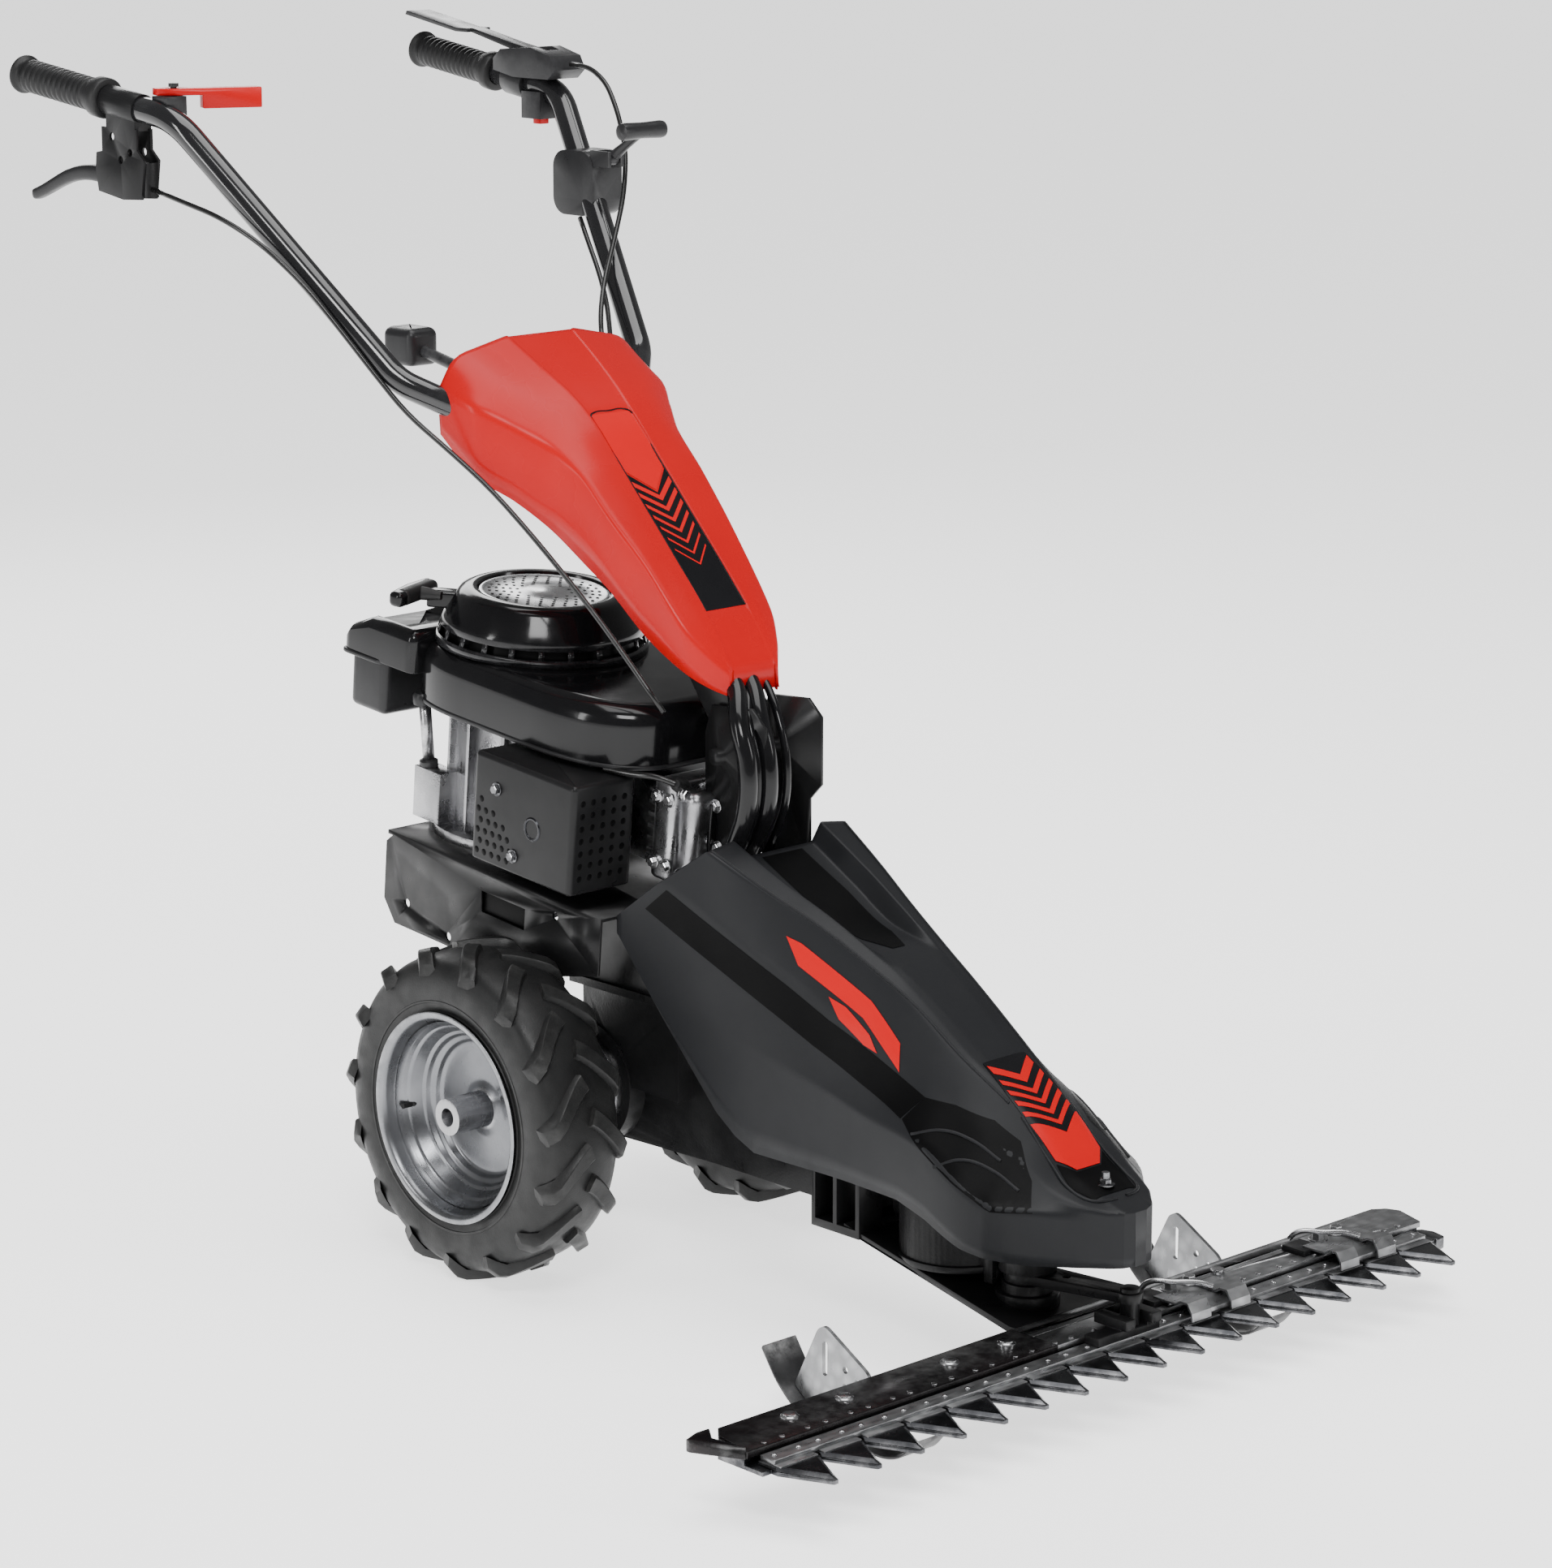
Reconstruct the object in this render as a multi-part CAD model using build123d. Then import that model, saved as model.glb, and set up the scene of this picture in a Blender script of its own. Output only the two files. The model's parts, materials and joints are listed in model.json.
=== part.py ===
from build123d import *
import math
import os

# Walk-behind sickle-bar mower. Millimetres, +Z up.
# The cutter bar points to -Y, the operator stands at +Y, and +X is the operator's left.
# The origin lies on the ground, halfway between the blade tips and the ends of the grips.

# ---------- driving dimensions ----------
HALF_LENGTH = 670
TOOTH_PITCH = 50.8
TOOTH_COUNT = 17
TOOTH_LENGTH = 46
KNIFE_STROKE = 25

TYRE_R = 164
TYRE_CARCASS_R = 155
TYRE_W = 96
RIM_R = 104
WHEEL_X = 178
AXLE_Y = 61
AXLE_R = 12.45
RUNNING_GAP = 0.05
HUB_R = 18

ENGINE_TILT = 5.5
ENGINE_Y = 195
ENGINE_Z = 392
FRAME_HALF_W = 122
FRAME_T = 3

PIVOT_Y = -115
PIVOT_Z = 520
MAST_HALF_W = 20

TUBE_R = 13
TUBE_WALL = 2
GRIP_R = 16.5
CABLE_R = 2.6

ENGINE = Pos(0, ENGINE_Y, ENGINE_Z) * Rot(ENGINE_TILT, 0, 0)


# ---------- small helpers ----------
def box(x0, x1, y0, y1, z0, z1):
    """A block given by its low and high coordinates."""
    centre = Pos((x0 + x1) / 2, (y0 + y1) / 2, (z0 + z1) / 2)
    return centre * Box(x1 - x0, y1 - y0, z1 - z0)


def rod_x(r, x0, x1, y, z):
    return Pos((x0 + x1) / 2, y, z) * Rot(0, 90, 0) * Cylinder(r, x1 - x0)


def rod_y(r, y0, y1, x, z):
    return Pos(x, (y0 + y1) / 2, z) * Rot(90, 0, 0) * Cylinder(r, y1 - y0)


def rod_z(r, z0, z1, x, y):
    return Pos(x, y, (z0 + z1) / 2) * Cylinder(r, z1 - z0)


def side_plate(points, x0, x1):
    """A plate with a (y, z) outline, from x0 to x1."""
    face = make_face(Polyline(*[(x0, y, z) for y, z in points], close=True))
    return extrude(face, amount=x1 - x0, dir=(1, 0, 0))


def plan_plate(points, z0, z1):
    """A plate with an (x, y) outline, from z0 to z1."""
    face = make_face(Polyline(*[(x, y, z0) for x, y in points], close=True))
    return extrude(face, amount=z1 - z0, dir=(0, 0, 1))


def tube(path, r, wall=0):
    ring = Circle(r) - Circle(r - wall) if wall else Circle(r)
    start = path @ 0
    return sweep(Plane(origin=start, z_dir=path % 0) * ring, path=path)


def route(points, share=0.45):
    """Straight runs joined by arcs as large as the runs allow; returns the path and its radii."""
    radii = []
    for a, b, c in zip(points, points[1:], points[2:]):
        into = Vector(*b) - Vector(*a)
        out = Vector(*c) - Vector(*b)
        half_turn = math.radians(into.get_angle(out) / 2)
        shorter = min(into.length, out.length)
        radii.append(share * shorter / math.tan(half_turn))
    return FilletPolyline(*points, radius=radii), radii


def lofted(stations):
    """Solid through closed (x, z) outlines at successive y stations."""
    faces = []
    for y, outline in stations:
        faces.append(make_face(Polyline(*[(x, y, z) for x, z in outline], close=True)))
    return loft(faces, ruled=True)


def symmetric(half):
    """Closes a half outline, listed from the centre line outwards and down, over the other side."""
    return half + [(-x, z) for x, z in reversed(half) if x > 0]


parts = {}

# ---------- cutter bar ----------
BAR_HALF = TOOTH_PITCH * (TOOTH_COUNT - 1) / 2
PLATE_REAR_Y = -540
PLATE_FRONT_Y = -597
PLATE_TOP_Z = 66
PLATE_T = 6
BLADE_Z0 = 53.3
BLADE_T = 3
FINGER_Z0 = 49
NOTCH_Y = -HALF_LENGTH + TOOTH_LENGTH
CLIP_X = (125, 334)
BOLT_X = (-359, -294, -165, -93, 190, 290)
BAR_HALF_SPAN = 464


def bar_plate():
    outline = [(-420, PLATE_REAR_Y), (440, PLATE_REAR_Y), (452, -548), (458, -562),
               (446, PLATE_FRONT_Y), (-440, PLATE_FRONT_Y), (-432, -552)]
    plate = plan_plate(outline, PLATE_TOP_Z - PLATE_T, PLATE_TOP_Z)
    cuts = [rod_z(4, 50, 80, x, -563) for x in BOLT_X]
    return plate - cuts


def tooth_row(z0, thickness, root_y, tip_width):
    """A comb of pointed teeth on one strip."""
    shapes = []
    for i in range(TOOTH_COUNT):
        x = (i - (TOOTH_COUNT - 1) / 2) * TOOTH_PITCH
        half = TOOTH_PITCH / 2 - 1.5
        outline = [(x - half, root_y), (x - half, NOTCH_Y), (x - tip_width, -HALF_LENGTH),
                   (x + tip_width, -HALF_LENGTH), (x + half, NOTCH_Y), (x + half, root_y)]
        shapes.append(plan_plate(outline, z0, z0 + thickness))
    return shapes


def finger_bar():
    """Fixed lower comb; its teeth stand right under the blades at rest."""
    teeth = tooth_row(FINGER_Z0, 4, -612, 2.5)
    strip = box(-440, 446, -616, -560, FINGER_Z0, FINGER_Z0 + 4)
    spine = box(-440, 446, PLATE_FRONT_Y + 4, -560, FINGER_Z0 + 4, PLATE_TOP_Z - PLATE_T)
    return strip + teeth + spine


def knife_blades():
    """Seventeen separate triangular sections, side by side."""
    return tooth_row(BLADE_Z0, BLADE_T, -600, 1.5)


def knife_back():
    return box(-BAR_HALF - 22, BAR_HALF + 22, -618, -600, BLADE_Z0 + BLADE_T, BLADE_Z0 + BLADE_T + 5)


def knife_head():
    """Block on the knife back, with a slot that the drive pin of the swing arm works in."""
    foot = box(-32, 50, -618, -600, BLADE_Z0 + BLADE_T + 5, 70)
    block = box(-2, 46, -624, -584, 70, 80)
    cut = box(11, 33, -626, -586, 68, 82)
    return (foot + block) - cut


def hold_down_clips():
    clips = []
    for x in CLIP_X:
        arm = side_plate([(-560, 66.2), (-560, 71), (-606, 71), (-624, 66), (-624, 62.2),
                          (-606, 66.2)], x - 24, x + 24)
        bolts = [rod_z(5, 71, 77, x + dx, -574) for dx in (-13, 13)]
        clips.append(arm + bolts)
    return clips


def bar_rivets():
    rivets = []
    for i in range(TOOTH_COUNT):
        x = (i - (TOOTH_COUNT - 1) / 2) * TOOTH_PITCH
        for dx in (-10, 11):
            if all(abs(x + dx - c) > 30 for c in CLIP_X):
                rivets.append(rod_z(2.6, PLATE_TOP_Z, PLATE_TOP_Z + 1.6, x + dx, -592))
    return rivets


def bar_bolts():
    bolts = []
    for x in BOLT_X:
        head = rod_z(6.5, PLATE_TOP_Z, PLATE_TOP_Z + 4, x, -563)
        bolts.append(head + rod_z(4, PLATE_TOP_Z - PLATE_T, PLATE_TOP_Z, x, -563))
    return bolts


def divider():
    """Pointed crop divider at the right-hand end of the bar."""
    outline = [(-440, -597), (-446, -560), (-432, -541), (-448, -541), (-BAR_HALF_SPAN, -547),
               (-BAR_HALF_SPAN, -551)]
    return plan_plate(outline, 58, 70)


def end_shoe():
    """Rounded shoe at the other end, just under the knife."""
    outline = [(446.2, -600), (452, -582), (460, -588), (BAR_HALF_SPAN, -600), (460, -616), (446.2, -618)]
    return plan_plate(outline, 40, BLADE_Z0 - 0.5)


parts["bar_plate"] = bar_plate()
parts["finger_bar"] = finger_bar()
parts["knife_blades"] = knife_blades()
parts["knife_back"] = knife_back()
parts["knife_head"] = knife_head()
parts["hold_down_clips"] = hold_down_clips()
parts["bar_rivets"] = bar_rivets()
parts["bar_bolts"] = bar_bolts()
parts["bar_divider"] = divider()
parts["bar_end_shoe"] = end_shoe()

# ---------- skids ----------
SKID_X = 231
SKID_HALF_W = 21


def skid(sign):
    """A bent sole that slides on the ground, and the slotted plate that hangs it on the bar."""
    underside = [(-412, 60), (-432, 34), (-455, 15), (-485, 3), (-510, 0), (-570, 0), (-590, 7), (-604, 22)]
    topside = [(-601, 24), (-588, 11), (-569, 4), (-511, 4), (-486, 7), (-457, 18.5), (-435, 37), (-415, 62)]
    x = sign * SKID_X
    sole = side_plate(underside + topside, x - SKID_HALF_W, x + SKID_HALF_W)
    web_line = [(-440, 30), (-470, 92), (-478, 96), (-486, 92), (-532, 66), (-537, 58), (-537, 2), (-510, 2),
                (-486, 5), (-457, 17)]
    web = side_plate(web_line, x - 2, x + 2)
    slot = box(x - 4, x + 4, -483, -475, 50, 82)
    holes = [rod_x(3.3, x - 4, x + 4, y, z) for y, z in ((-505, 62), (-505, 40), (-520, 50))]
    return (sole + web) - slot - holes


parts["skid_left"] = skid(1)
parts["skid_right"] = skid(-1)

# ---------- cutter drive ----------
CARRIER_HALF_W = 58
CARRIER_SLOPE = 12
COLUMN_Y = -500
ARM_Z0 = 90
ARM_T = 9
PIN_R = 9


def carrier_z(y):
    """Top of the inclined carrier plate at station y."""
    return 64 + (PLATE_REAR_Y - y) * -math.tan(math.radians(CARRIER_SLOPE))


def carrier_plate():
    """Inclined plate from the gearbox down to the bar, with the open channel that bolts it on."""
    y1 = -318
    outline = [(PLATE_REAR_Y, 60), (PLATE_REAR_Y, 66), (-532, 66), (y1, carrier_z(y1)),
               (y1, carrier_z(y1) - 6), (-532, 60)]
    plate = side_plate(outline, -CARRIER_HALF_W, CARRIER_HALF_W)
    top = 158
    low = carrier_z(-330) - 8
    channel = box(-60, 60, -340, -276, low, top) - box(-30, 30, -400, -200, low + 8, top + 1)
    for y0, y1 in ((-335, -310), (-305, -281)):
        channel -= box(-70, 70, y0, y1, low + 8, top - 4)
    return plate + channel


def drive_housing():
    """Round housing of the knife drive, standing on the carrier plate."""
    y = -412
    body = rod_z(56, 98, 168, 0, y) - rod_z(50, 106, 160, 0, y)
    foot = rod_z(60, 92, 98, 0, y)
    neck = rod_y(22, -372, -346, 0, 130) - rod_z(50.5, 90, 170, 0, y)
    below = side_plate([(-480, 60), (-480, carrier_z(-480) + 0.6), (-330, carrier_z(-330) + 0.6), (-330, 60)],
                       -70, 70)
    return (body + foot + neck) - below


def pivot_column():
    """Upright bearing column; the oscillating shaft turns inside it."""
    base = rod_z(30, 66, 80, 0, COLUMN_Y)
    lower = rod_z(24, 66, ARM_Z0 - 1, 0, COLUMN_Y)
    upper = rod_z(27, ARM_Z0 + ARM_T + 1, 168, 0, COLUMN_Y)
    bridge = box(-24, 24, -478, -458, 84, 168)
    rear = box(-20, 20, -478, -454, 110, 166)
    bore = rod_z(12 + RUNNING_GAP, 77, 150, 0, COLUMN_Y)
    slope = [(-540, 40), (-540, 66.2), (-532, 66.2), (-440, carrier_z(-440) + 0.2), (-440, 40)]
    slope_cut = side_plate(slope, -60, 60)
    room = rod_z(29, ARM_Z0 - 1, ARM_Z0 + ARM_T + 1, 0, COLUMN_Y)
    housing = rod_z(56.3, 60, 180, 0, -412) + rod_z(60.3, 60, 98.3, 0, -412)
    return (base + lower + upper + bridge + rear) - bore - slope_cut - room - housing


def swing_arm():
    """Lever on the oscillating shaft; its front pin works in the knife head's slot."""
    shaft = rod_z(12, 78, 146, 0, COLUMN_Y)
    z1 = ARM_Z0 + ARM_T
    blade = plan_plate([(-19, COLUMN_Y), (19, COLUMN_Y), (34, -600), (30, -612), (16, -612), (10, -600)],
                       ARM_Z0, z1)
    boss = rod_z(22, ARM_Z0, z1, 0, COLUMN_Y)
    nose = rod_z(12, ARM_Z0, z1, 22, -606)
    pin = rod_z(PIN_R, 68.5, z1 + 4, 22, -606)
    hole = rod_z(4, 60, 120, 9, -540)
    return shaft + blade + boss + nose + pin - hole


parts["carrier_plate"] = carrier_plate()
parts["drive_housing"] = drive_housing()
parts["pivot_column"] = pivot_column()
parts["swing_arm"] = swing_arm()

# ---------- wheels ----------
LUG_COUNT = 15


def tyre(sign):
    """Carcass with two rows of slanted drive lugs, centred on the wheel plane."""
    half = TYRE_W / 2
    bead = RIM_R - 8
    profile = [(-30, bead), (-half + 4, bead + 12), (-half, bead + 26), (-half + 3, TYRE_CARCASS_R - 16),
               (-half + 14, TYRE_CARCASS_R - 3), (-20, TYRE_CARCASS_R), (20, TYRE_CARCASS_R),
               (half - 14, TYRE_CARCASS_R - 3), (half - 3, TYRE_CARCASS_R - 16), (half, bead + 26),
               (half - 4, bead + 12), (30, bead)]
    face = make_face(Polyline(*[(x, 0, r) for x, r in profile], close=True))
    body = revolve(face, axis=Axis.X)
    lugs = []
    for i in range(LUG_COUNT):
        for side in (-1, 1):
            turn = 360 / LUG_COUNT * (i + (0.5 if side > 0 else 0))
            lug = Pos(side * 24, 0, TYRE_CARCASS_R + 2) * Rot(0, 0, side * 35) * Box(46, 13, 13.5)
            lugs.append(Rot(turn, 0, 0) * lug)
    rough = body + lugs
    envelope = Rot(0, 90, 0) * Cylinder(TYRE_R, TYRE_W)
    return Pos(sign * WHEEL_X, AXLE_Y, TYRE_R) * (rough & envelope)


def rim(sign):
    """Pressed steel rim: flanges, bead seats and a dished disc."""
    bead = RIM_R - 8
    outer = [(50, RIM_R), (46, RIM_R), (44, bead), (-44, bead), (-46, RIM_R - 2), (-50, RIM_R - 2),
             (-50, RIM_R - 6), (-46, bead - 4), (6, bead - 4), (2, 78), (6, 60), (-2, 48),
             (-4, HUB_R + RUNNING_GAP)]
    inner = [(0, HUB_R + RUNNING_GAP), (2, 47), (10, 60), (6, 78), (10, bead - 4), (41, bead - 4),
             (44, RIM_R - 4), (50, RIM_R - 4)]
    profile = outer + inner
    face = make_face(Polyline(*[(sign * x, 0, r) for x, r in profile], close=True))
    return Pos(sign * WHEEL_X, AXLE_Y, TYRE_R) * revolve(face, axis=Axis.X)


def wheel_shaft(sign):
    """Hub tube with the stub shaft that enters the gearbox."""
    lo, hi = sorted((sign * 110, sign * 224))
    hub = rod_x(HUB_R, lo, hi, AXLE_Y, TYRE_R)
    lo, hi = sorted((sign * 20, sign * 150))
    stub = rod_x(AXLE_R, lo, hi, AXLE_Y, TYRE_R)
    lo, hi = sorted((sign * 185, sign * 230))
    bore = rod_x(9, lo, hi, AXLE_Y, TYRE_R)
    collar_lo, collar_hi = sorted((sign * 140, sign * 146))
    flange = rod_x(26, collar_lo, collar_hi, AXLE_Y, TYRE_R)
    return hub + stub + flange - bore


for side, sign in (("left", 1), ("right", -1)):
    parts["tyre_" + side] = tyre(sign)
    parts["rim_" + side] = rim(sign)
    parts["wheel_shaft_" + side] = wheel_shaft(sign)

# ---------- gearbox ----------
INPUT_Y = -20
INPUT_TOP = 318


def gearbox_housing():
    """Cast housing: axle drum, upright input box and the forward shaft tube."""
    drum = rod_x(62, -44, 44, AXLE_Y, TYRE_R)
    bosses = rod_x(30, -96, 96, AXLE_Y, TYRE_R)
    upright = box(-42, 42, -70, 70, 170, 276) + box(-60, 60, -70, 70, 268, 276)
    chin = side_plate([(70, 130), (40, 108), (-100, 112), (-312, 112), (-312, 152), (-270, 156), (-120, 190),
                       (-70, 200), (70, 200)], -24, 24)
    input_boss = rod_z(24, 270, 292, 0, INPUT_Y)
    bore = rod_x(AXLE_R + RUNNING_GAP, -110, 110, AXLE_Y, TYRE_R)
    input_bore = rod_z(9 + RUNNING_GAP, 230, 300, 0, INPUT_Y)
    return drum + bosses + upright + chin + input_boss - bore - input_bore


def gearbox_end_cover():
    """Round bolted cover on the operator's right of the axle drum."""
    ring = rod_x(50, -52, -44, AXLE_Y, TYRE_R) - rod_x(30, -60, -40, AXLE_Y, TYRE_R)
    bolts = []
    for i in range(6):
        a = math.radians(60 * i + 30)
        bolts.append(rod_x(4, -56, -52, AXLE_Y + 41 * math.cos(a), TYRE_R + 41 * math.sin(a)))
    return ring + bolts


def gearbox_pulley():
    shaft = rod_z(9, 235, 322, 0, INPUT_Y)
    disc = rod_z(46, 296, 316, 0, INPUT_Y)
    groove = rod_z(60, 301, 311, 0, INPUT_Y) - rod_z(38, 300, 312, 0, INPUT_Y)
    return shaft + disc - groove


parts["gearbox_housing"] = gearbox_housing()
parts["gearbox_end_cover"] = gearbox_end_cover()
parts["gearbox_pulley"] = gearbox_pulley()

# ---------- engine frame, in the tilted engine frame of reference ----------
DECK_TOP = -4
DECK_BOTTOM = -8


def engine_frame():
    """Folded sheet tray: two tall side plates, a deck under the engine and legs onto the gearbox."""
    side_line = [(-246, -4), (66, -4), (80, -16), (80, -76), (62, -98), (-30, -98), (-120, -100), (-246, -62)]
    w = FRAME_HALF_W
    left = side_plate(side_line, w - FRAME_T, w)
    right = side_plate(side_line, -w, -w + FRAME_T)
    deck = box(-w, w, -246, 78, DECK_BOTTOM, DECK_TOP)
    holes = [rod_x(4.5, -w - 1, w + 1, y, z) for y, z in ((44, -72), (-22, -88), (-180, -20))]
    opening = rod_z(70, -10, 0, 0, 0)
    window = box(-w - 1, w + 1, -136, -70, -48, -26)
    tray = left + right + deck - holes - opening - window
    placed = ENGINE * tray
    leg_line = [(-50, 276), (66, 276), (66, 384), (-50, 384)]
    legs = side_plate(leg_line, 55, 59) + side_plate(leg_line, -59, -55)
    return placed + (legs - ENGINE * box(-w, w, -300, 100, DECK_TOP, 60))


def crank_pulley():
    """Crankshaft stub, belt pulley below the deck and flywheel fan under the recoil cover."""
    shaft = rod_z(12, -92, 196, 0, 0)
    disc = rod_z(36, -88, -68, 0, 0)
    groove = rod_z(50, -83, -73, 0, 0) - rod_z(28, -84, -72, 0, 0)
    fan = rod_z(78, 190, 194, 0, 0)
    for i in range(10):
        fan += Rot(0, 0, 36 * i) * box(40, 76, -1.5, 1.5, 194, 210)
    return ENGINE * (shaft + disc + fan - groove)


def drive_belt():
    """Flat stand-in for the belt between the two pulleys, clear of both."""
    y0 = INPUT_Y
    y1 = ENGINE_Y + 6
    outline = SlotCenterToCenter(y1 - y0, 2 * 50)
    hollow = SlotCenterToCenter(y1 - y0, 2 * 47)
    loop = Rot(0, 0, 90) * (outline - hollow)
    return Pos(0, (y0 + y1) / 2, 302) * extrude(loop, amount=8)


parts["engine_frame"] = engine_frame()
parts["crank_pulley"] = crank_pulley()
parts["drive_belt"] = drive_belt()

# ---------- engine ----------
CYLINDER_Z = 76
SHROUD_Z0 = 134
SHROUD_Z1 = 194


def crankcase():
    """Aluminium crankcase: base flange, body, and cylinder barrel towards the bar."""
    flange = rod_z(104, 0, 10, 0, 0) - rod_z(88, -1, 11, 0, 0)
    floor = rod_z(92, 4, 10, 0, 0)
    body = rod_z(82, 10, 126, 0, 0) - rod_z(76, 9, 120, 0, 0)
    barrel = box(-42, 42, -226, -74, 34, 118) - rod_y(32, -230, -60, 0, CYLINDER_Z)
    bore = rod_z(12 + RUNNING_GAP, -10, 140, 0, 0)
    lug = box(-98, -74, 30, 70, 10, 62)
    return ENGINE * (flange + floor + body + (barrel - rod_z(76, 0, 120, 0, 0)) + lug - bore)


def cylinder_head():
    core = box(-40, 40, -274, -226, 36, 116) - box(-32, 32, -268, -226, 48, 104)
    fins = core
    for i in range(7):
        z = 38 + 12 * i
        fins += box(-56, 56, -266, -232, z, z + 4) - box(-36, 36, -270, -228, z - 1, z + 5)
    return ENGINE * fins


def muffler_guard():
    """Folded guard box with vent holes on its two open faces."""
    shell = box(-150, -72, -230, -83, 18, 127) - box(-148, -60, -228, -85, 16, 125)
    holes = []
    for i in range(5):
        for j in range(6):
            holes.append(rod_y(2.6, -232, -226, -136 + 13 * i, 40 + 14 * j))
    for i in range(3):
        for j in range(6):
            holes.append(rod_x(2.8, -152, -146, -102 - 13 * i - 3 * (j % 2), 34 + 12 * j))
    return ENGINE * (shell - holes)


def blower_shroud():
    """Glossy plastic housing that leads the cooling air to the cylinder."""
    outline = [(-114, 20), (-114, -180), (-96, -226), (-60, -244), (60, -244), (100, -220),
               (112, -170), (112, 20), (96, 70), (50, 102), (-50, 102), (-100, 70)]
    inner = [(x * 0.972, y * 0.972 - 1) for x, y in outline]
    block = plan_plate(outline, SHROUD_Z0, SHROUD_Z1) - plan_plate(inner, SHROUD_Z0 - 4, SHROUD_Z1 - 4)
    mouth = rod_z(84, 180, 200, 0, 0)
    return ENGINE * (block - mouth)


def recoil_cover():
    """Round starter cover with a slotted skirt and a sunken top."""
    profile = [(86, 194), (106, 194), (106, 200), (101, 216), (90, 236), (84, 246), (68, 249),
               (66, 244), (81, 241), (87, 233), (97, 214), (100, 200), (86, 200)]
    face = make_face(Polyline(*[(r, 0, z) for r, z in profile], close=True))
    shell = revolve(face, axis=Axis.Z)
    shell += rod_z(68, 241, 244, 0, 0) - rod_z(40, 240, 245, 0, 0)
    slots = []
    for i in range(20):
        slots.append(Rot(0, 0, 18 * i) * box(92, 110, -9, 9, 203, 211))
    return ENGINE * (shell - slots)


def recoil_disc():
    disc = rod_z(65.5, 244, 246, 0, 0)
    holes = []
    for i in range(24):
        for r in (34, 44, 54):
            a = math.radians(15 * i)
            holes.append(rod_z(2, 243, 247, r * math.cos(a), r * math.sin(a)))
    return ENGINE * (disc - holes)


def starter_handle():
    """T-handle at the end of the starter rope, parked against the recoil cover."""
    grip = Pos(-92, 86, 236) * Rot(0, 0, 20) * Box(62, 18, 16)
    stem = Pos(-81, 76, 234) * Rot(0, 0, -43) * Box(20, 13, 12)
    return ENGINE * (grip + stem)


def air_box():
    body = box(-112, -14, 106, 166, 104, 160) - box(-109, -17, 109, 163, 107, 161)
    return ENGINE * body


def air_box_lid():
    profile = [(103, 160.3), (172, 160.3), (172, 166), (166, 170), (148, 202), (108, 206), (103, 200)]
    lid = side_plate(profile, -116, -8)
    hollow = side_plate([(106, 159), (164, 159), (162, 170), (146, 198), (110, 202), (106, 198)], -112, -12)
    return ENGINE * (lid - hollow - rod_z(107, 150, 260, 0, 0))


def dipstick_tube():
    path = Line((-88, 60, 63.5), (-96, 62, 133))
    return ENGINE * tube(path, 6)


parts["crankcase"] = crankcase()
parts["cylinder_head"] = cylinder_head()
parts["muffler_guard"] = muffler_guard()
parts["blower_shroud"] = blower_shroud()
parts["recoil_cover"] = recoil_cover()
parts["recoil_disc"] = recoil_disc()
parts["starter_handle"] = starter_handle()
parts["air_box"] = air_box()
parts["air_box_lid"] = air_box_lid()
parts["dipstick_tube"] = dipstick_tube()

# ---------- front cover ----------
COVER_WALL = 3
COVER_HEM = 40


def cover_half(floor_w, floor_z, rim_w, rim_z, edge_w, edge_z, side_w, side_z, low_w, low_z, base_w, base_z):
    """Half a cross-section: trough floor, trough rim, shoulder edge, flank crease, low crease and hem."""
    return [(0, floor_z), (floor_w, floor_z), (rim_w, rim_z), (edge_w, edge_z), (side_w, side_z),
            (low_w, low_z), (base_w, base_z)]


COVER_SECTIONS = [
    (-40, cover_half(48, 494, 60, 510, 108, 508, 110, 430, 108, 300, 104, 140)),
    (-165, cover_half(44, 434, 56, 452, 90, 447, 101, 395, 104, 290, 102, 140)),
    (-228, cover_half(40, 404, 51, 423, 76, 418, 94, 366, 102, 275, 100, 140)),
    (-288, cover_half(33, 378, 42, 396, 60, 391, 84, 340, 100, 262, 98, 140)),
    (-345, cover_half(28, 366, 36, 367, 50, 362, 76, 312, 98, 250, 96, 138)),
    (-390, cover_half(24, 342, 34, 341, 44, 338, 71, 296, 99, 240, 98, 136)),
    (-455, cover_half(20, 299, 32, 298, 41, 295, 66, 268, 104, 232, 102, 132)),
    (-500, cover_half(18, 272, 28, 271, 36, 267, 62, 250, 106, 208, 106, 130)),
    (-540, cover_half(16, 244, 24, 243, 32, 238, 58, 226, 100, 190, 101, 130)),
    (-580, cover_half(14, 208, 20, 208, 28, 206, 52, 202, 76, 186, 78, 130)),
    (-642, cover_half(10, 186, 16, 186, 20, 185, 30, 184, 50, 178, 52, 130)),
]


def cover_body(inset):
    """The wedge, drawn in by an inset on all its walls."""
    stations = []
    drop = inset * 1.25
    for y, half in COVER_SECTIONS:
        moved = [(max(x - inset * 1.1, 0), z - drop) for x, z in half]
        if inset:
            moved[-1] = (moved[-1][0], half[-1][1] - COVER_HEM)
        stations.append((y + (0 if y > -600 else inset), symmetric(moved)))
    body = lofted(stations)
    side_line = [(-163, 480), (-163, 429), (-60, 368), (-57, 348), (-120, 276), (-190, 200), (-215, 182),
                 (-240, 171), (-430, 171), (-470, 162), (-515, 146), (-574, 136), (-645, 136), (-645, 480)]
    if inset:
        side_line = [(0, 600), (0, 100), (-637, 100), (-637, 600)]
    half_plan = [(120, 0), (120, -470), (112, -520), (90, -556), (68, -580), (46, -606), (26, -628),
                 (8, -638)]
    plan = [(-x, y) for x, y in half_plan] + half_plan[::-1]
    if inset:
        plan = [(x * (1 - inset / 110), y + inset * 1.3) for x, y in plan]
    return body & side_plate(side_line, -130, 130) & plan_plate(plan, 90, 620)


def front_cover():
    return cover_body(0) - cover_body(COVER_WALL)


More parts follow.
